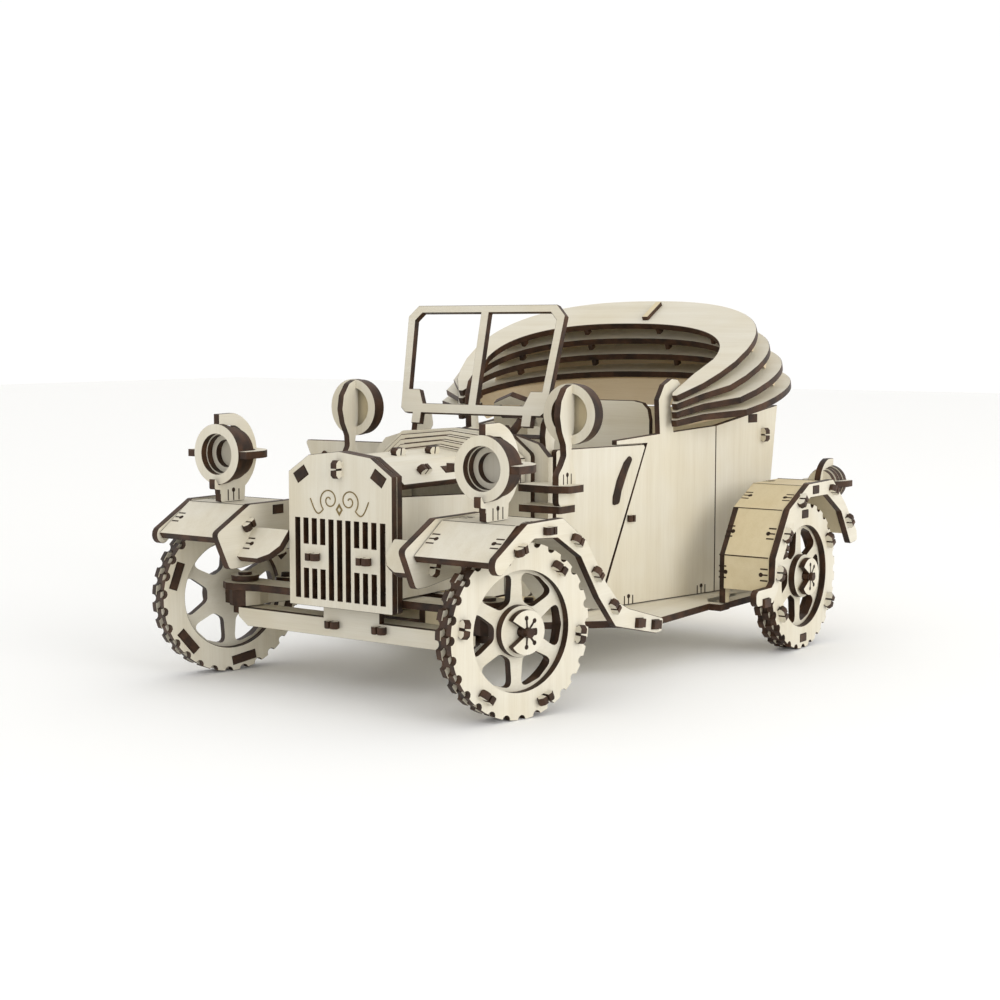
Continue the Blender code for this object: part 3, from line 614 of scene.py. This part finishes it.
def wheel_spot(centre, out, angle, face):
    """A spot on the ring of pegs and the direction round it; face is 1 outside, -1 inside."""
    up = Vector((0, 0, 1))
    a = math.radians(angle)
    radial = up.cross(out) * math.cos(a) + up * math.sin(a)
    at = centre + radial * PEG_RING_R + out * face * (PITCH + PLY / 2)
    return at, radial.cross(out)


def make_wheel_pegs(name, centre, out, peg_angles, tab_angles):
    """Pegs and flat tabs on the outer face, and the heads of both on the inner face."""
    details = []
    for angle in peg_angles:
        at, along = wheel_spot(centre, out, angle, 1)
        details.append(peg(at, along, out))
    for angle in tab_angles:
        at, along = wheel_spot(centre, out, angle, 1)
        details += tab(at, along, out)
    piece(f"{name}_pegs", details, name)
    heads = []
    for angle in peg_angles + tab_angles:
        at, along = wheel_spot(centre, out, angle, -1)
        heads += tab(at, along, -out, 10.0, 3.0, 0.5)
    piece(f"{name}_tab_heads", heads, name)


def make_clip(name, matrix, turn):
    """Spring clip on the axle's end, with its keyhole slots."""
    spin = Matrix.Rotation(math.radians(turn), 4, "Z")
    clip_place = matrix @ lift(2 * PLY + 0.65) @ spin
    clip = plate_mesh([clip_outline()], clip_place, CLIP_THICKNESS, [BIRCH["z"], EDGE])
    slots = []
    face = clip_place @ lift(CLIP_THICKNESS / 2)
    for angle in CLIP_SLOT_ANGLES:
        turned = face @ Matrix.Rotation(math.radians(angle), 4, "Z")
        slots.append(mark(box(1.4, -0.42, 4.8, 0.42), turned))
        slots.append(mark(circle(0.85, 16, 4.9), turned))
    slots.append(mark(rounded(box(-4.4, -1.25, 2.4, 1.25), 0.8), face))
    piece(f"{name}_clip", [clip] + slots, name)


def make_wheel(name, spin_joint, outward, peg_angles, tab_angles, clip_turn):
    """One wheel about its joint; outward points away from the car. Its body has its name."""
    centre = joint_point(spin_joint) + Vector((0, CENTRE_Y, 0))
    up = Vector((0, 0, 1))
    out = Vector(outward).normalized()
    matrix = place(centre, up.cross(out), up)
    make_plies(name, matrix)
    make_wheel_pegs(name, centre, out, peg_angles, tab_angles)
    make_clip(name, matrix, clip_turn)


def make_wheels():
    for side, word in SIDES:
        front_joint = f"spin_front_{word}"
        outward = Vector(JOINTS[front_joint]["axis"]) * side
        pegs = [60 * i + FRONT_PEG_SHIFT[side] for i in range(6)]
        turn = 180 if side > 0 else 0
        make_wheel(f"wheel_front_{word}", front_joint, outward, pegs, [], turn)
        rear_joint = f"spin_rear_{word}"
        outward = (side, 0, 0)
        make_wheel(f"wheel_rear_{word}", rear_joint, outward, REAR_PEG_ANGLES, REAR_TAB_ANGLES, turn)


# ---------------------------------------------------------------- folded hood

def bow_curve(side_reach, start, back_reach):
    """Curve parallel to a bow's edges, from its left arm round the back to its right arm."""
    points = []
    for i in range(BOW_STEPS + 1):
        a = math.radians(180.0 / BOW_STEPS * i)
        across = math.copysign(abs(math.cos(a)) ** BOW_ROUNDNESS, math.cos(a))
        back = start + (back_reach - start) * math.sin(a) ** BOW_ROUNDNESS
        points.append((side_reach * across, back))
    return points


def bow_outline(half, reach):
    """U-shaped bow in its own plane: X across, Y backwards from the posts."""
    outer = bow_curve(half, BOW_STRAIGHT, reach)
    inner = bow_curve(half - BOW_SIDE_W, BOW_INNER_STRAIGHT, reach - BOW_BACK_W)
    tip = [(51.6, 2.0), (51.2, -1.6), (52.2, -3.7), (54.4, -3.6), (57.0, 0.0), (61.6, 6.6)]
    tip += [(half - 3.6, 15.0), (half - 0.9, 24.5)]
    left_tip = [(-x, v) for x, v in reversed(tip)]
    return tip + outer + left_tip + [(-53.6, 14.0)] + list(reversed(inner)) + [(53.6, 14.0)]


def bow_place(tilt, height):
    """Plane of a bow that rises backwards from the posts; tilt in degrees."""
    t = math.radians(tilt)
    return place((0, POST_Y, height), (1, 0, 0), (0, math.cos(t), math.sin(t)))


def strip_mesh(upper, lower, thickness):
    """Bent strip between two rows of points, with a little thickness towards the rear."""
    shape = bmesh.new()
    shift = Vector((0, thickness * MM, 0))
    sheets = []
    for offset in (Vector(), shift):
        sheets.append([[shape.verts.new(point + offset) for point in row] for row in (upper, lower)])
    (top_a, low_a), (top_b, low_b) = sheets
    last = len(upper) - 1
    for i in range(last):
        shape.faces.new((top_a[i], top_a[i + 1], low_a[i + 1], low_a[i]))
        shape.faces.new((low_b[i], low_b[i + 1], top_b[i + 1], top_b[i]))
        shape.faces.new((top_b[i], top_b[i + 1], top_a[i + 1], top_a[i]))
        shape.faces.new((low_a[i], low_a[i + 1], low_b[i + 1], low_b[i]))
    for i in (0, last):
        shape.faces.new((top_a[i], low_a[i], low_b[i], top_b[i]))
    bmesh.ops.recalc_face_normals(shape, faces=shape.faces)
    mesh = bpy.data.meshes.new("strip")
    shape.to_mesh(mesh)
    shape.free()
    mesh.materials.append(TAN)
    return mesh


def on_bow(bow, points, level):
    """Points of a bow's plane, level above it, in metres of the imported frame."""
    matrix = bow_place(bow[0], bow[1])
    return [matrix @ (Vector((x, y, level)) * MM) for x, y in points]


def make_hood_linings():
    """Strips that close the hood: between its bows, and from the lowest bow to the body's rim."""
    for i, (upper, lower) in enumerate(zip(BOWS, BOWS[1:])):
        rows = []
        for bow, level in ((upper, LINING_OVERLAP - PLY), (lower, -LINING_OVERLAP)):
            curve = bow_curve(bow[2] - LINING_INSET, BOW_STRAIGHT, bow[3] - LINING_INSET)
            rows.append(on_bow(bow, curve[4:-4], level))
        lining = strip_mesh(*rows, LINING_THICKNESS)
        piece(f"hood_lining_{i + 1}", [lining], CHASSIS, bevel=0)
    lowest = BOWS[-1]
    half = lowest[2] - BOW_SIDE_W + 2.0
    curve = bow_curve(half, BOW_INNER_STRAIGHT, lowest[3] - BOW_BACK_W + 2.0)
    curve = [(54.6, 12.5)] + curve + [(-54.6, 12.5)]
    upper = on_bow(lowest, curve, LINING_OVERLAP - PLY)
    rim = [rim_point(point) for point in upper]
    piece("hood_rim_lining", [strip_mesh(upper, rim, LINING_THICKNESS)], CHASSIS, bevel=0)


def rim_point(point):
    """The spot on the body's rim below a point of the lowest bow; both in metres."""
    y = min(point.y / MM + CENTRE_Y, RIM_BACK_Y)
    reach = FLARE_X0 + FLARE * y - 2.2
    x = max(-reach, min(reach, point.x / MM))
    z = RIM_FRONT_Z + (y - POST_Y) * RIM_RISE
    return Vector((x, y - CENTRE_Y, z)) * MM


def bow_hooks(tilt, height, half, reach):
    """Small burnt hooks under a bow, along its inner edge."""
    hooks = []
    matrix = bow_place(tilt, height) @ lift(-PLY - 1.2)
    back = reach - BOW_BACK_W - BOW_INNER_STRAIGHT
    for angle in HOOK_ANGLES:
        a = math.radians(angle)
        x = (half - BOW_SIDE_W + 2.5) * math.cos(a)
        y = BOW_INNER_STRAIGHT + back * math.sin(a) ** BOW_ROUNDNESS + 2.2
        block = rounded(box(x - 1.1, y - 1.7, x + 1.1, y + 1.7), 0.6, 2)
        hooks.append(plate_mesh([block], matrix, 2.6, [EDGE, EDGE]))
    return hooks


def make_hood():
    """The bows, the hooks under all but the lowest, and a tab on the top one."""
    for i, (tilt, height, half, reach) in enumerate(BOWS):
        matrix = bow_place(tilt, height)
        outline = bow_outline(half, reach)
        mesh = plate_mesh([outline], matrix @ lift(-PLY / 2), PLY, [BIRCH["x"], EDGE])
        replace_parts(piece(f"hood_bow_{i + 1}_plate", [mesh], CHASSIS), f"hood_bow_{i + 1}")
    hooks = []
    for bow in BOWS[:-1]:
        hooks += bow_hooks(*bow)
    piece("hood_hooks", hooks, CHASSIS)
    tilt, height, _, reach = BOWS[0]
    strip = box(6.0, reach - 18.0, 9.0, reach - 4.0)
    # The top tab takes the warmer, darker birch, partly painted shade
    top = plate_mesh([strip], bow_place(tilt, height) @ lift(0.8), 1.8, [WARM_AND_SHADED_BIRCH["y"], EDGE])
    piece("hood_top_tab", [top], CHASSIS)


# ---------------------------------------------------------------- lamps

def fin(outer, inner, front):
    """C-shaped fin that wraps the lamp, open at its front; local X runs backwards."""
    points = [(front, outer * 0.97)] + arc(0, 0, outer, 78, -78, 25) + [(front, -outer * 0.97)]
    return points + [(front, -inner)] + arc(0, 0, inner, -70, 70, 21) + [(front, inner)]


def lamp_rings(matrix, radius):
    """Stack of rings behind each other, smaller towards the back, and the closing disc."""
    stack = (
        (0.0, 1.0, 0.68), (PLY, 0.93, 0.64), (2 * PLY, 0.9, 0.46), (3 * PLY, 0.8, 0.0),
    )
    meshes = []
    for depth, outer, inner in stack:
        loops = [circle(radius * outer)]
        if inner:
            loops.append(circle(radius * inner))
        offset = -(depth + PLY / 2)
        meshes.append(plate_mesh(loops, matrix @ lift(offset), PLY - 0.02, [BIRCH["z"], EDGE]))
    return meshes


def lamp_meshes(centre, facing, radius, fin_outer, depth):
    """Ring stack with an upright and a level fin; facing 1 looks forwards."""
    matrix = place(centre, (facing, 0, 0), (0, 0, 1))
    x, y, z = centre
    meshes = lamp_rings(matrix, radius)
    outline = fin(fin_outer, radius - 0.3, -depth + 0.4)
    upright = [(y + facing * (depth + u), z + v) for u, v in outline]
    level = [(x + v, y + facing * (depth + u)) for u, v in outline]
    meshes.append(plate_mesh([upright], side_place(x), PLY, [BIRCH["y"], EDGE]))
    meshes.append(plate_mesh([level], flat_place(z), PLY, [BIRCH["y"], EDGE]))
    return meshes


def make_headlamps():
    x, y, z = HEADLAMP
    foot = [
        (-82.6, 66.4), (-82.0, 74.0), (-80.6, z - 8.0), (-86.0, z - 8.8), (-96.6, z - 11.6),
        (-98.6, 76.0), (-98.6, 71.4), (-95.4, 71.0), (-95.4, 66.4),
    ]
    stem_loop = rounded(foot, 0.8, 3)
    stem_width = PLY + 0.12        # a little more than the upright fin's, so their faces don't coincide
    for side, word in SIDES:
        centre = (side * x, y, z)
        meshes = lamp_meshes(centre, 1, HEADLAMP_R, HEADLAMP_FIN_R, HEADLAMP_DEPTH)
        stem = plate_mesh([stem_loop], side_place(side * x), stem_width, [BIRCH["z"], EDGE])
        marks = foot_marks(side * x, -88.6, 66.7, stem_width / 2, 2.9, 4.2)
        lamp = piece(f"headlamp_{word}_rings", meshes + [stem] + marks, CHASSIS)
        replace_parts(lamp, f"headlamp_{word}")


def post_outline(z):
    """Curved lamp post seen from the side: bulb behind the ring, narrow neck, spread foot."""
    front = [
        (-26.0, z + 11.6), (-31.4, z + 9.6), (-34.8, z + 5.0), (-35.8, z - 0.6), (-34.4, z - 6.2),
        (-31.8, z - 11.0), (-31.4, z - 15.2), (-33.8, z - 18.8), (-36.6, z - 21.8), (-36.6, 66.2),
    ]
    back = [
        (-25.0, 66.2), (-25.0, z - 21.8), (-27.2, z - 17.6), (-27.9, z - 13.0), (-27.2, z - 8.6),
        (-26.2, z - 5.4),
    ]
    return rounded(front + back, 2.4)


# The two arms that carry a side lamp: outline on the left, corner radius, middle height
SIDE_LAMP_ARMS = (
    ([(35.4, -38.0), (50.0, -39.4), (57.4, -36.0), (57.4, -25.7), (35.4, -25.7)], 1.6, 72.6),
    ([(35.4, -37.5), (54.0, -37.5), (54.0, -26.5), (35.4, -26.5)], 1.2, 65.0),
)


def make_side_lamps():
    x, y, z = SIDE_LAMP
    for side, word in SIDES:
        post = plate_mesh([post_outline(z)], side_place(side * x), PLY, [BIRCH["z"], EDGE])
        ring_loops = [circle(SIDE_LAMP_R, 56, side * x, z), circle(SIDE_LAMP_HOLE_R, 44, side * x, z)]
        ring = plate_mesh(ring_loops, front_place(y - 0.6), PLY + 0.6, [BIRCH["z"], EDGE])
        disc_place = front_place(y + PLY - 0.2)
        disc_loop = circle(SIDE_LAMP_DISC_R, 56, side * x, z)
        # The disc takes the warmer, darker birch, partly painted shade
        disc = plate_mesh([disc_loop], disc_place, PLY, [WARM_AND_SHADED_BIRCH["z"], EDGE])
        parts = [post, ring, disc]
        for points, radius, height in SIDE_LAMP_ARMS:
            loop = rounded([(side * u, v) for u, v in points], radius)
            parts.append(plate_mesh([loop], flat_place(height), PLY, [BIRCH["x"], EDGE]))
        parts += foot_marks(side * x, -30.7, 74.1, PLY / 2, 2.6, 3.8)
        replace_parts(piece(f"side_lamp_{word}_post", parts, CHASSIS), f"side_lamp_{word}")


def make_tail_lamps():
    x, y, z = TAIL_LAMP
    for side, word in SIDES:
        centre = (side * x, y, z)
        meshes = lamp_meshes(centre, -1, TAIL_LAMP_R, TAIL_LAMP_FIN_R, TAIL_LAMP_DEPTH)
        foot = [(y - 14.5, z - 4.6), (y - 9.6, z - 9.2), (y - 6.0, z - 4.0), (y - 9.0, z + 1.0)]
        meshes.append(plate_mesh([foot], side_place(side * x), PLY, [BIRCH["y"], EDGE]))
        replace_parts(piece(f"tail_lamp_{word}_rings", meshes, CHASSIS), f"tail_lamp_{word}")


# ---------------------------------------------------------------- details on the body

def make_radiator_details():
    """Pegs and tabs on the radiator's face, and two pegs on the axle beam below it."""
    y = RADIATOR_FACE_Y
    out = (0, -1, 0)
    parts = [peg((0, y, 81.6), (0, 0, 1), out)]
    for x in (-11.8, 11.8):
        parts.append(peg((x, y, 49.7), (1, 0, 0), out, 0.95))
    for side in (1, -1):
        slope = Vector((side * 9.6, 0, -6.35))
        parts += tab((side * 17.8, y, 79.2), slope, out, 5.6, 3.6)
    piece("radiator_pegs", parts, CHASSIS)
    parts = []
    for x in (-8.1, 13.7):
        parts.append(peg((x, BEAM_FACE_Y, 24.6), (1, 0, 0), out, 0.95))
    piece("beam_pegs", parts, CHASSIS)


def ornament_points(side):
    """A generic scroll: a spiral that runs out into a rising wave."""
    points = []
    for i in range(56):
        t = i / 55
        a = math.radians(150 - 560 * t)
        r = 0.5 + 3.9 * t
        points.append((side * (4.6 + r * math.cos(a)), 70.4 + r * math.sin(a)))
    start_x, start_z = points[-1]
    for i in range(1, 19):
        t = i / 18
        x = start_x + side * 6.0 * t
        points.append((x, start_z - 3.2 * math.sin(math.pi * t) + 3.6 * t))
    return points


def make_ornament():
    """Engraved scrollwork above the slots: two mirrored spirals and a diamond."""
    meshes = []
    for side in (1, -1):
        data = bpy.data.curves.new("scroll", "CURVE")
        data.dimensions = "3D"
        data.bevel_depth = 0.26 * MM
        data.bevel_resolution = 1
        data.use_fill_caps = True
        spline = data.splines.new("POLY")
        points = ornament_points(side)
        spline.points.add(len(points) - 1)
        for point, (x, z) in zip(spline.points, points):
            point.co = (x * MM, (RADIATOR_FACE_Y - CENTRE_Y) * MM, z * MM, 1.0)
        mesh = mesh_from_curve(data)
        mesh.materials.append(ENGRAVED)
        meshes.append(mesh)
    diamond = [(0, 64.9), (1.6, 67.2), (0, 69.5), (-1.6, 67.2)]
    hole = [(0, 66.2), (0.8, 67.2), (0, 68.2), (-0.8, 67.2)]
    matrix = front_place(RADIATOR_FACE_Y)
    meshes.append(plate_mesh([diamond, hole], matrix, 0.24, [ENGRAVED, ENGRAVED]))
    piece("radiator_ornament", meshes, CHASSIS, bevel=0)


def make_bonnet_details():
    """Pegs and tabs on the bonnet's sloping panels; the upper pegs are on its left only."""
    parts = []
    for side in (1, -1):
        upper = Vector((side * 2.1, 0, 16.2))
        lower = Vector((side * 7.3, 0, 8.3))
        if side > 0:
            for at in ((6.3, -71.9, 85.4), (8.1, -53.9, 85.1)):
                parts.append(peg(at, (0, 1, 0), upper, 0.9))
        parts.append(peg((side * 20.6, -75.8, 80.25), (0, 1, 0), lower, 0.9))
        parts += tab((side * 20.6, -60.8, 80.25), (0, 1, 0), lower)
    piece("bonnet_pegs", parts, CHASSIS)


def band_pegs(points, face_x, side, size=0.92):
    """Pegs along a wing's rim; each lies across the line to its neighbours."""
    parts = []
    for i, (y, z) in enumerate(points):
        before = Vector(points[max(i - 1, 0)])
        after = Vector(points[min(i + 1, len(points) - 1)])
        along = (after - before).normalized()
        parts.append(peg((side * face_x, y, z), (0, along.x, along.y), (side, 0, 0), size))
    return parts


FRONT_WING_OUTER = arc(-109.7, 54.6, 3.4, -40, -225, 9) + [
    (-94.3, 66.9), (-72.6, 67.0), (-57.2, 57.6), (-44.5, 41.7), (-34.6, 32.8), (-28.3, 30.0),
    (-3.3, 23.2), (-4.4, 18.2), (-8.9, 18.2), (-37.8, 24.7), (-49.3, 36.6), (-61.2, 52.4),
    (-75.9, 60.4), (-90.1, 61.4), (-103.6, 54.6),
]
FRONT_WING_INNER = [
    (-110.3, 44.0), (-117.0, 57.6), (-99.3, 67.0), (-72.6, 67.0), (-57.2, 57.6), (-44.5, 41.7),
    (-47.5, 39.0), (-60.2, 53.2), (-74.9, 58.0), (-80.0, 47.0), (-104.0, 44.0),
]
BRACE = [(24.2, 14.0), (24.2, 6.5), (27.0, 2.5), (31.5, 0.0), (41.6, 0.0), (41.6, 14.0)]
BRACE_AT = (0.0, -105.5, 47.4)
BRACE_RISE = (0.0, 0.68, 0.73)
REAR_WING_OUTER = [
    (34.8, 28.8), (34.9, 25.2), (36.3, 23.8), (49.6, 23.8), (53.9, 28.5), (56.5, 38.0),
    (66.5, 53.5), (82.1, 62.8), (98.6, 62.8), (112.7, 54.6), (122.7, 40.0), (129.9, 40.7),
    (129.0, 45.3), (117.2, 57.6), (104.0, 68.8), (80.8, 68.5), (63.1, 59.7), (51.0, 41.2),
    (50.4, 32.0), (48.0, 30.2), (36.6, 30.2),
]


def make_wing_plates():
    """Side plates of the wings with eased corners, and the braces to the radiator."""
    for side, word in SIDES:
        finish = [BIRCH["y"], EDGE]
        outer_place = side_place(side * (WING_OUT_FACE_X - PLY / 2))
        outer = plate_mesh([rounded(FRONT_WING_OUTER, 1.5, 3)], outer_place, PLY, finish)
        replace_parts(piece(f"wing_front_side_{word}", [outer], CHASSIS), f"wing_front_outer_{word}")
        inner_place = side_place(side * (WING_IN_FACE_X + PLY / 2))
        inner = plate_mesh([rounded(FRONT_WING_INNER, 2.2, 4)], inner_place, PLY, finish)
        brace_loop = rounded([(side * x, v) for x, v in BRACE], 0.8, 3)
        brace = plate_mesh([brace_loop], place(BRACE_AT, (1, 0, 0), BRACE_RISE), PLY, finish)
        lining = piece(f"wing_front_lining_{word}", [inner, brace], CHASSIS)
        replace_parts(lining, f"wing_front_inner_{word}")
        rear_place = side_place(side * (REAR_WING_FACE_X - PLY / 2))
        rear = plate_mesh([rounded(REAR_WING_OUTER, 1.6, 3)], rear_place, PLY, finish)
        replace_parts(piece(f"wing_rear_side_{word}", [rear], CHASSIS), f"wing_rear_outer_{word}")


# Wing details in (Y, Z): pegs and tabs on the sides, and the crowns' corners with the X of their marks
FRONT_WING_PEGS = [(-99.5, 58.6), (-82.3, 63.6), (-65.2, 58.6), (-51.8, 45.4), (-40.2, 32.4)]
REAR_WING_PEGS = [(53.6, 35.0), (59.4, 49.6), (72.6, 62.4)]
FRONT_WING_TABS = [(-21.2, 23.8), (-9.4, 21.6)]
FRONT_CROWN = [
    (-112.0, 55.4), (-96.2, 66.2), (-73.0, 66.2), (-57.8, 57.0), (-45.2, 41.2), (-35.0, 32.0),
]
FRONT_CROWN_X = (44.9, 74.6)
REAR_CROWN = [
    (51.3, 27.4), (51.6, 41.0), (63.5, 59.0), (81.0, 67.6), (103.6, 67.9), (116.6, 57.0), (127.5, 45.6),
]
REAR_CROWN_X = (72.4, 94.0)


def crown_marks(line, x_in, x_out, side):
    """Keyhole groups near both edges of each crown panel, and a seam between panels."""
    parts = []
    for i, (a, b) in enumerate(zip(line, line[1:])):
        start = Vector((0, *a))
        end = Vector((0, *b))
        along = (end - start).normalized()
        normal = Vector((side, 0, 0)).cross(along)
        if normal.dot(Vector((0, -0.2, 1))) < 0:
            normal = -normal
        middle = (start + end) / 2 + normal * 0.03
        for x, inward in ((x_in, side), (x_out, -side)):
            at = Vector((side * x, 0, 0)) + middle
            y_axis = Vector((inward, 0, 0))
            x_axis = y_axis.cross(normal)
            parts += keyhole_group(place(at, x_axis, y_axis))
        if i:
            seam_at = Vector((side * (x_in + x_out) / 2, 0, 0)) + start + normal * MARK_LIFT
            half = (x_out - x_in) / 2
            seam = box(-half, -SEAM_HALF, half, SEAM_HALF)
            parts.append(mark(seam, place(seam_at, (1, 0, 0), along)))
    return parts


def make_front_wing_details(side, word):
    out = (side, 0, 0)
    parts = band_pegs(FRONT_WING_PEGS, WING_OUT_FACE_X, side)
    for y, z in FRONT_WING_TABS:
        parts += tab((side * WING_OUT_FACE_X, y, z), (0, 1, -0.12), out, 5.4, 3.2, 1.4)
    piece(f"wing_front_pegs_{word}", parts, CHASSIS)
    inner_x = side * WING_IN_FACE_X
    inner = [peg((inner_x, -100.9, 59.6), (0, 0.9, 0.5), (-side, 0, 0), 0.9)]
    inner += tab((inner_x, -84.0, 64.0), (0, 1, 0), (-side, 0, 0))
    inner.append(peg((side * 44.0, -101.4, 50.3), (0, 0.3, 1), out, 0.9))
    piece(f"wing_front_inner_pegs_{word}", inner, CHASSIS)
    marks = crown_marks(FRONT_CROWN, *FRONT_CROWN_X, side)
    rise = Vector(BRACE_RISE).normalized()
    face = Vector((0.0, -rise.z, rise.y)) * (PLY / 2 + MARK_LIFT)
    at = Vector(BRACE_AT) + Vector((side * 40.8, 0, 0)) + rise * 6.4 + face
    marks += keyhole_group(place(at, rise, (-side, 0, 0)), 2.3, 3.2)
    piece(f"wing_front_marks_{word}", marks, CHASSIS, bevel=0)


def make_rear_wing_details(side, word):
    out = (side, 0, 0)
    face_x = side * REAR_WING_FACE_X
    parts = band_pegs(REAR_WING_PEGS, REAR_WING_FACE_X, side)
    parts += tab((face_x, 87.3, 65.7), (0, 1, 0), out)
    parts += tab((face_x, 43.2, 24.6), (0, 1, 0), out, 5.4, 3.2, 1.0)
    parts.append(peg((face_x, 102.6, 64.6), (0, 1, -0.5), out, 0.9))
    parts.append(peg((face_x, 119.2, 50.2), (0, 0.7, -1), out, 0.9))
    piece(f"wing_rear_pegs_{word}", parts, CHASSIS)
    marks = crown_marks(REAR_CROWN, *REAR_CROWN_X, side)
    piece(f"wing_rear_marks_{word}", marks, CHASSIS, bevel=0)


def make_wing_details():
    for side, word in SIDES:
        make_front_wing_details(side, word)
        make_rear_wing_details(side, word)


def flare_axes(side):
    """Directions in plan of the body's side, which widens backwards: along it, and out of it."""
    along = Vector((side * FLARE, 1.0, 0.0)).normalized()
    return along, Vector((side, -FLARE, 0.0)).normalized()


def flare_point(side, y, z, out=0.0):
    """A point on the body's side, or out from it."""
    return Vector((side * (FLARE_X0 + FLARE * y), y, z)) + flare_axes(side)[1] * out


def handle_outline():
    """Curved handle inlay in (Y, Z), from its upper end to its lower end."""
    outer = [(27.4, 81.0), (29.0, 79.6), (26.2, 74.4), (23.0, 67.0), (21.8, 62.2)]
    inner = [(18.2, 61.6), (18.4, 65.0), (20.6, 71.6), (24.4, 78.4)]
    return rounded(outer + inner, 1.6)


def door_turn(side):
    """How far the door stands open at rest, about its hinge: only the right-hand one is open."""
    limits = JOINTS["door_right_swing"]["range_deg"]
    return -limits[0] if side < 0 else 0.0


def make_body_pegs(side, word):
    along, out = flare_axes(side)
    parts = tab(flare_point(side, 101.6, 93.2), along, out, 5.4, 3.0)
    parts.append(peg(flare_point(side, 108.4, 86.0), (0, 0, 1), out, 0.9))
    parts.append(peg(flare_point(side, 28.4, 55.9), along, out, 0.6))
    piece(f"body_pegs_{word}", parts, CHASSIS)


def make_body_marks(side, word):
    along, _ = flare_axes(side)
    marks = []
    for y in (27.7, 70.4):
        matrix = place(flare_point(side, y, 21.5, MARK_LIFT), along * side, (0, 0, 1))
        marks += keyhole_group(matrix, 2.4, 3.4)
    piece(f"body_marks_{word}", marks, CHASSIS, bevel=0)


def make_door_handle(side, word):
    """Handle inlay on the door, turned with the door where that stands open at rest."""
    along, out = flare_axes(side)
    swing = Matrix.Rotation(math.radians(door_turn(side)), 4, "Z")
    hinge = Matrix.Translation(Vector(JOINTS[f"door_{word}_swing"]["pos_m"]))
    turned = hinge @ swing @ hinge.inverted()
    face = place(Vector((side * FLARE_X0, 0, 0)) + out * 0.15, along, (0, 0, 1))
    stretch = math.hypot(1.0, FLARE)
    outline = [(y * stretch, z) for y, z in handle_outline()]
    handle = plate_mesh([outline], turned @ face, 0.9, [EDGE, EDGE])
    piece(f"door_handle_{word}", [handle], f"door_{word}")


def make_body_details():
    for side, word in SIDES:
        make_body_pegs(side, word)
        make_body_marks(side, word)
        make_door_handle(side, word)


def make_steering_details():
    """Washers and dowel ends on top of the kingpins."""
    for _, word in SIDES:
        pin = joint_point(f"steer_{word}")
        matrix = Matrix.Translation(Vector((pin.x, pin.y, 0)) * MM)
        finish = [BIRCH["x"], EDGE]
        washer_loops = [circle(5.2, 40), circle(1.9, 20)]
        washer = plate_mesh(washer_loops, matrix @ lift(WASHER_Z), 2.0, finish)
        head = plate_mesh([circle(2.6, 24)], matrix @ lift(PIN_END_Z), 1.2, finish)
        piece(f"kingpin_washer_{word}", [washer, head], CHASSIS)


ARCH_FLOOR = [(66.4, 53.3), (73.5, 53.3), (73.5, 108.0), (66.4, 108.0), (62.4, 60.2)]


def make_arch_floors():
    """Floor of each rear wheel arch, out to the wing's inner side; it overlaps the floor plate's edge."""
    for side, word in SIDES:
        outline = [(side * x, y) for x, y in ARCH_FLOOR]
        floor = plate_mesh([outline], flat_place(FLOOR_TOP - PLY / 2), PLY, [BIRCH["y"], EDGE])
        piece(f"arch_floor_{word}", [floor], CHASSIS)


# ---------------------------------------------------------------- stage, light, camera

def make_stage():
    """Pale floor just under the wheels, and an even sky."""
    bpy.ops.mesh.primitive_plane_add(size=STAGE_SIZE, location=(0, 0, -STAGE_DROP))
    floor = bpy.context.active_object
    floor.name = "floor"
    material, _, shader = new_material("floor_white", 0.85)
    shader.inputs["Base Color"].default_value = STAGE_COLOUR
    floor.data.materials.append(material)
    world = bpy.data.worlds.new("studio")
    world.use_nodes = True
    sky = world.node_tree.nodes["Background"]
    sky.inputs["Color"].default_value = SKY_COLOUR
    sky.inputs["Strength"].default_value = SKY_STRENGTH
    bpy.context.scene.world = world


def add_light(name, at, target, size, power):
    data = bpy.data.lights.new(name, "AREA")
    data.size = size
    data.energy = power
    light = bpy.data.objects.new(name, data)
    light.location = at
    light.rotation_euler = (Vector(target) - Vector(at)).to_track_quat("-Z", "Y").to_euler()
    bpy.context.scene.collection.objects.link(light)


def make_camera():
    azimuth = math.radians(CAMERA_AZIMUTH)
    elevation = math.radians(CAMERA_ELEVATION)
    back = Vector((
        math.sin(azimuth) * math.cos(elevation),
        -math.cos(azimuth) * math.cos(elevation),
        math.sin(elevation),
    ))
    data = bpy.data.cameras.new("camera")
    data.lens = CAMERA_LENS
    data.sensor_width = SENSOR_WIDTH
    data.clip_start = 0.01
    camera = bpy.data.objects.new("camera", data)
    camera.location = (Vector(CAMERA_AT) - Vector((0, CENTRE_Y, 0))) * MM
    camera.rotation_mode = "QUATERNION"
    camera.rotation_quaternion = (-back).to_track_quat("-Z", "Y")
    bpy.context.scene.collection.objects.link(camera)
    bpy.context.scene.camera = camera


# ---------------------------------------------------------------- everything

def dress_cad_nodes():
    """Finish every CAD node that still shows."""
    for name, obj in frame["nodes"].items():
        if obj.hide_render:
            continue
        grain = GRAIN_BY_NODE.get(name, "y" if "crown" in name else "z")
        # The listed plates take the warmer, darker birch, partly painted shade
        warm_and_shaded = name.startswith(WARM_AND_SHADED_NODES) and grain != "x"
        dress_node(name, grain, warm_and_shaded, MIN_WIDTH_BY_NODE.get(name, FACE_MIN_WIDTH))


make_camera()
make_wheels()
make_hood()
make_hood_linings()
make_headlamps()
make_side_lamps()
make_tail_lamps()
make_radiator_details()
make_ornament()
make_bonnet_details()
make_wing_plates()
make_wing_details()
make_body_details()
make_steering_details()
make_arch_floors()
dress_cad_nodes()
make_stage()
add_light("key", KEY_AT, KEY_TARGET, KEY_SIZE, KEY_POWER)
bpy.context.scene.view_settings.view_transform = "Standard"
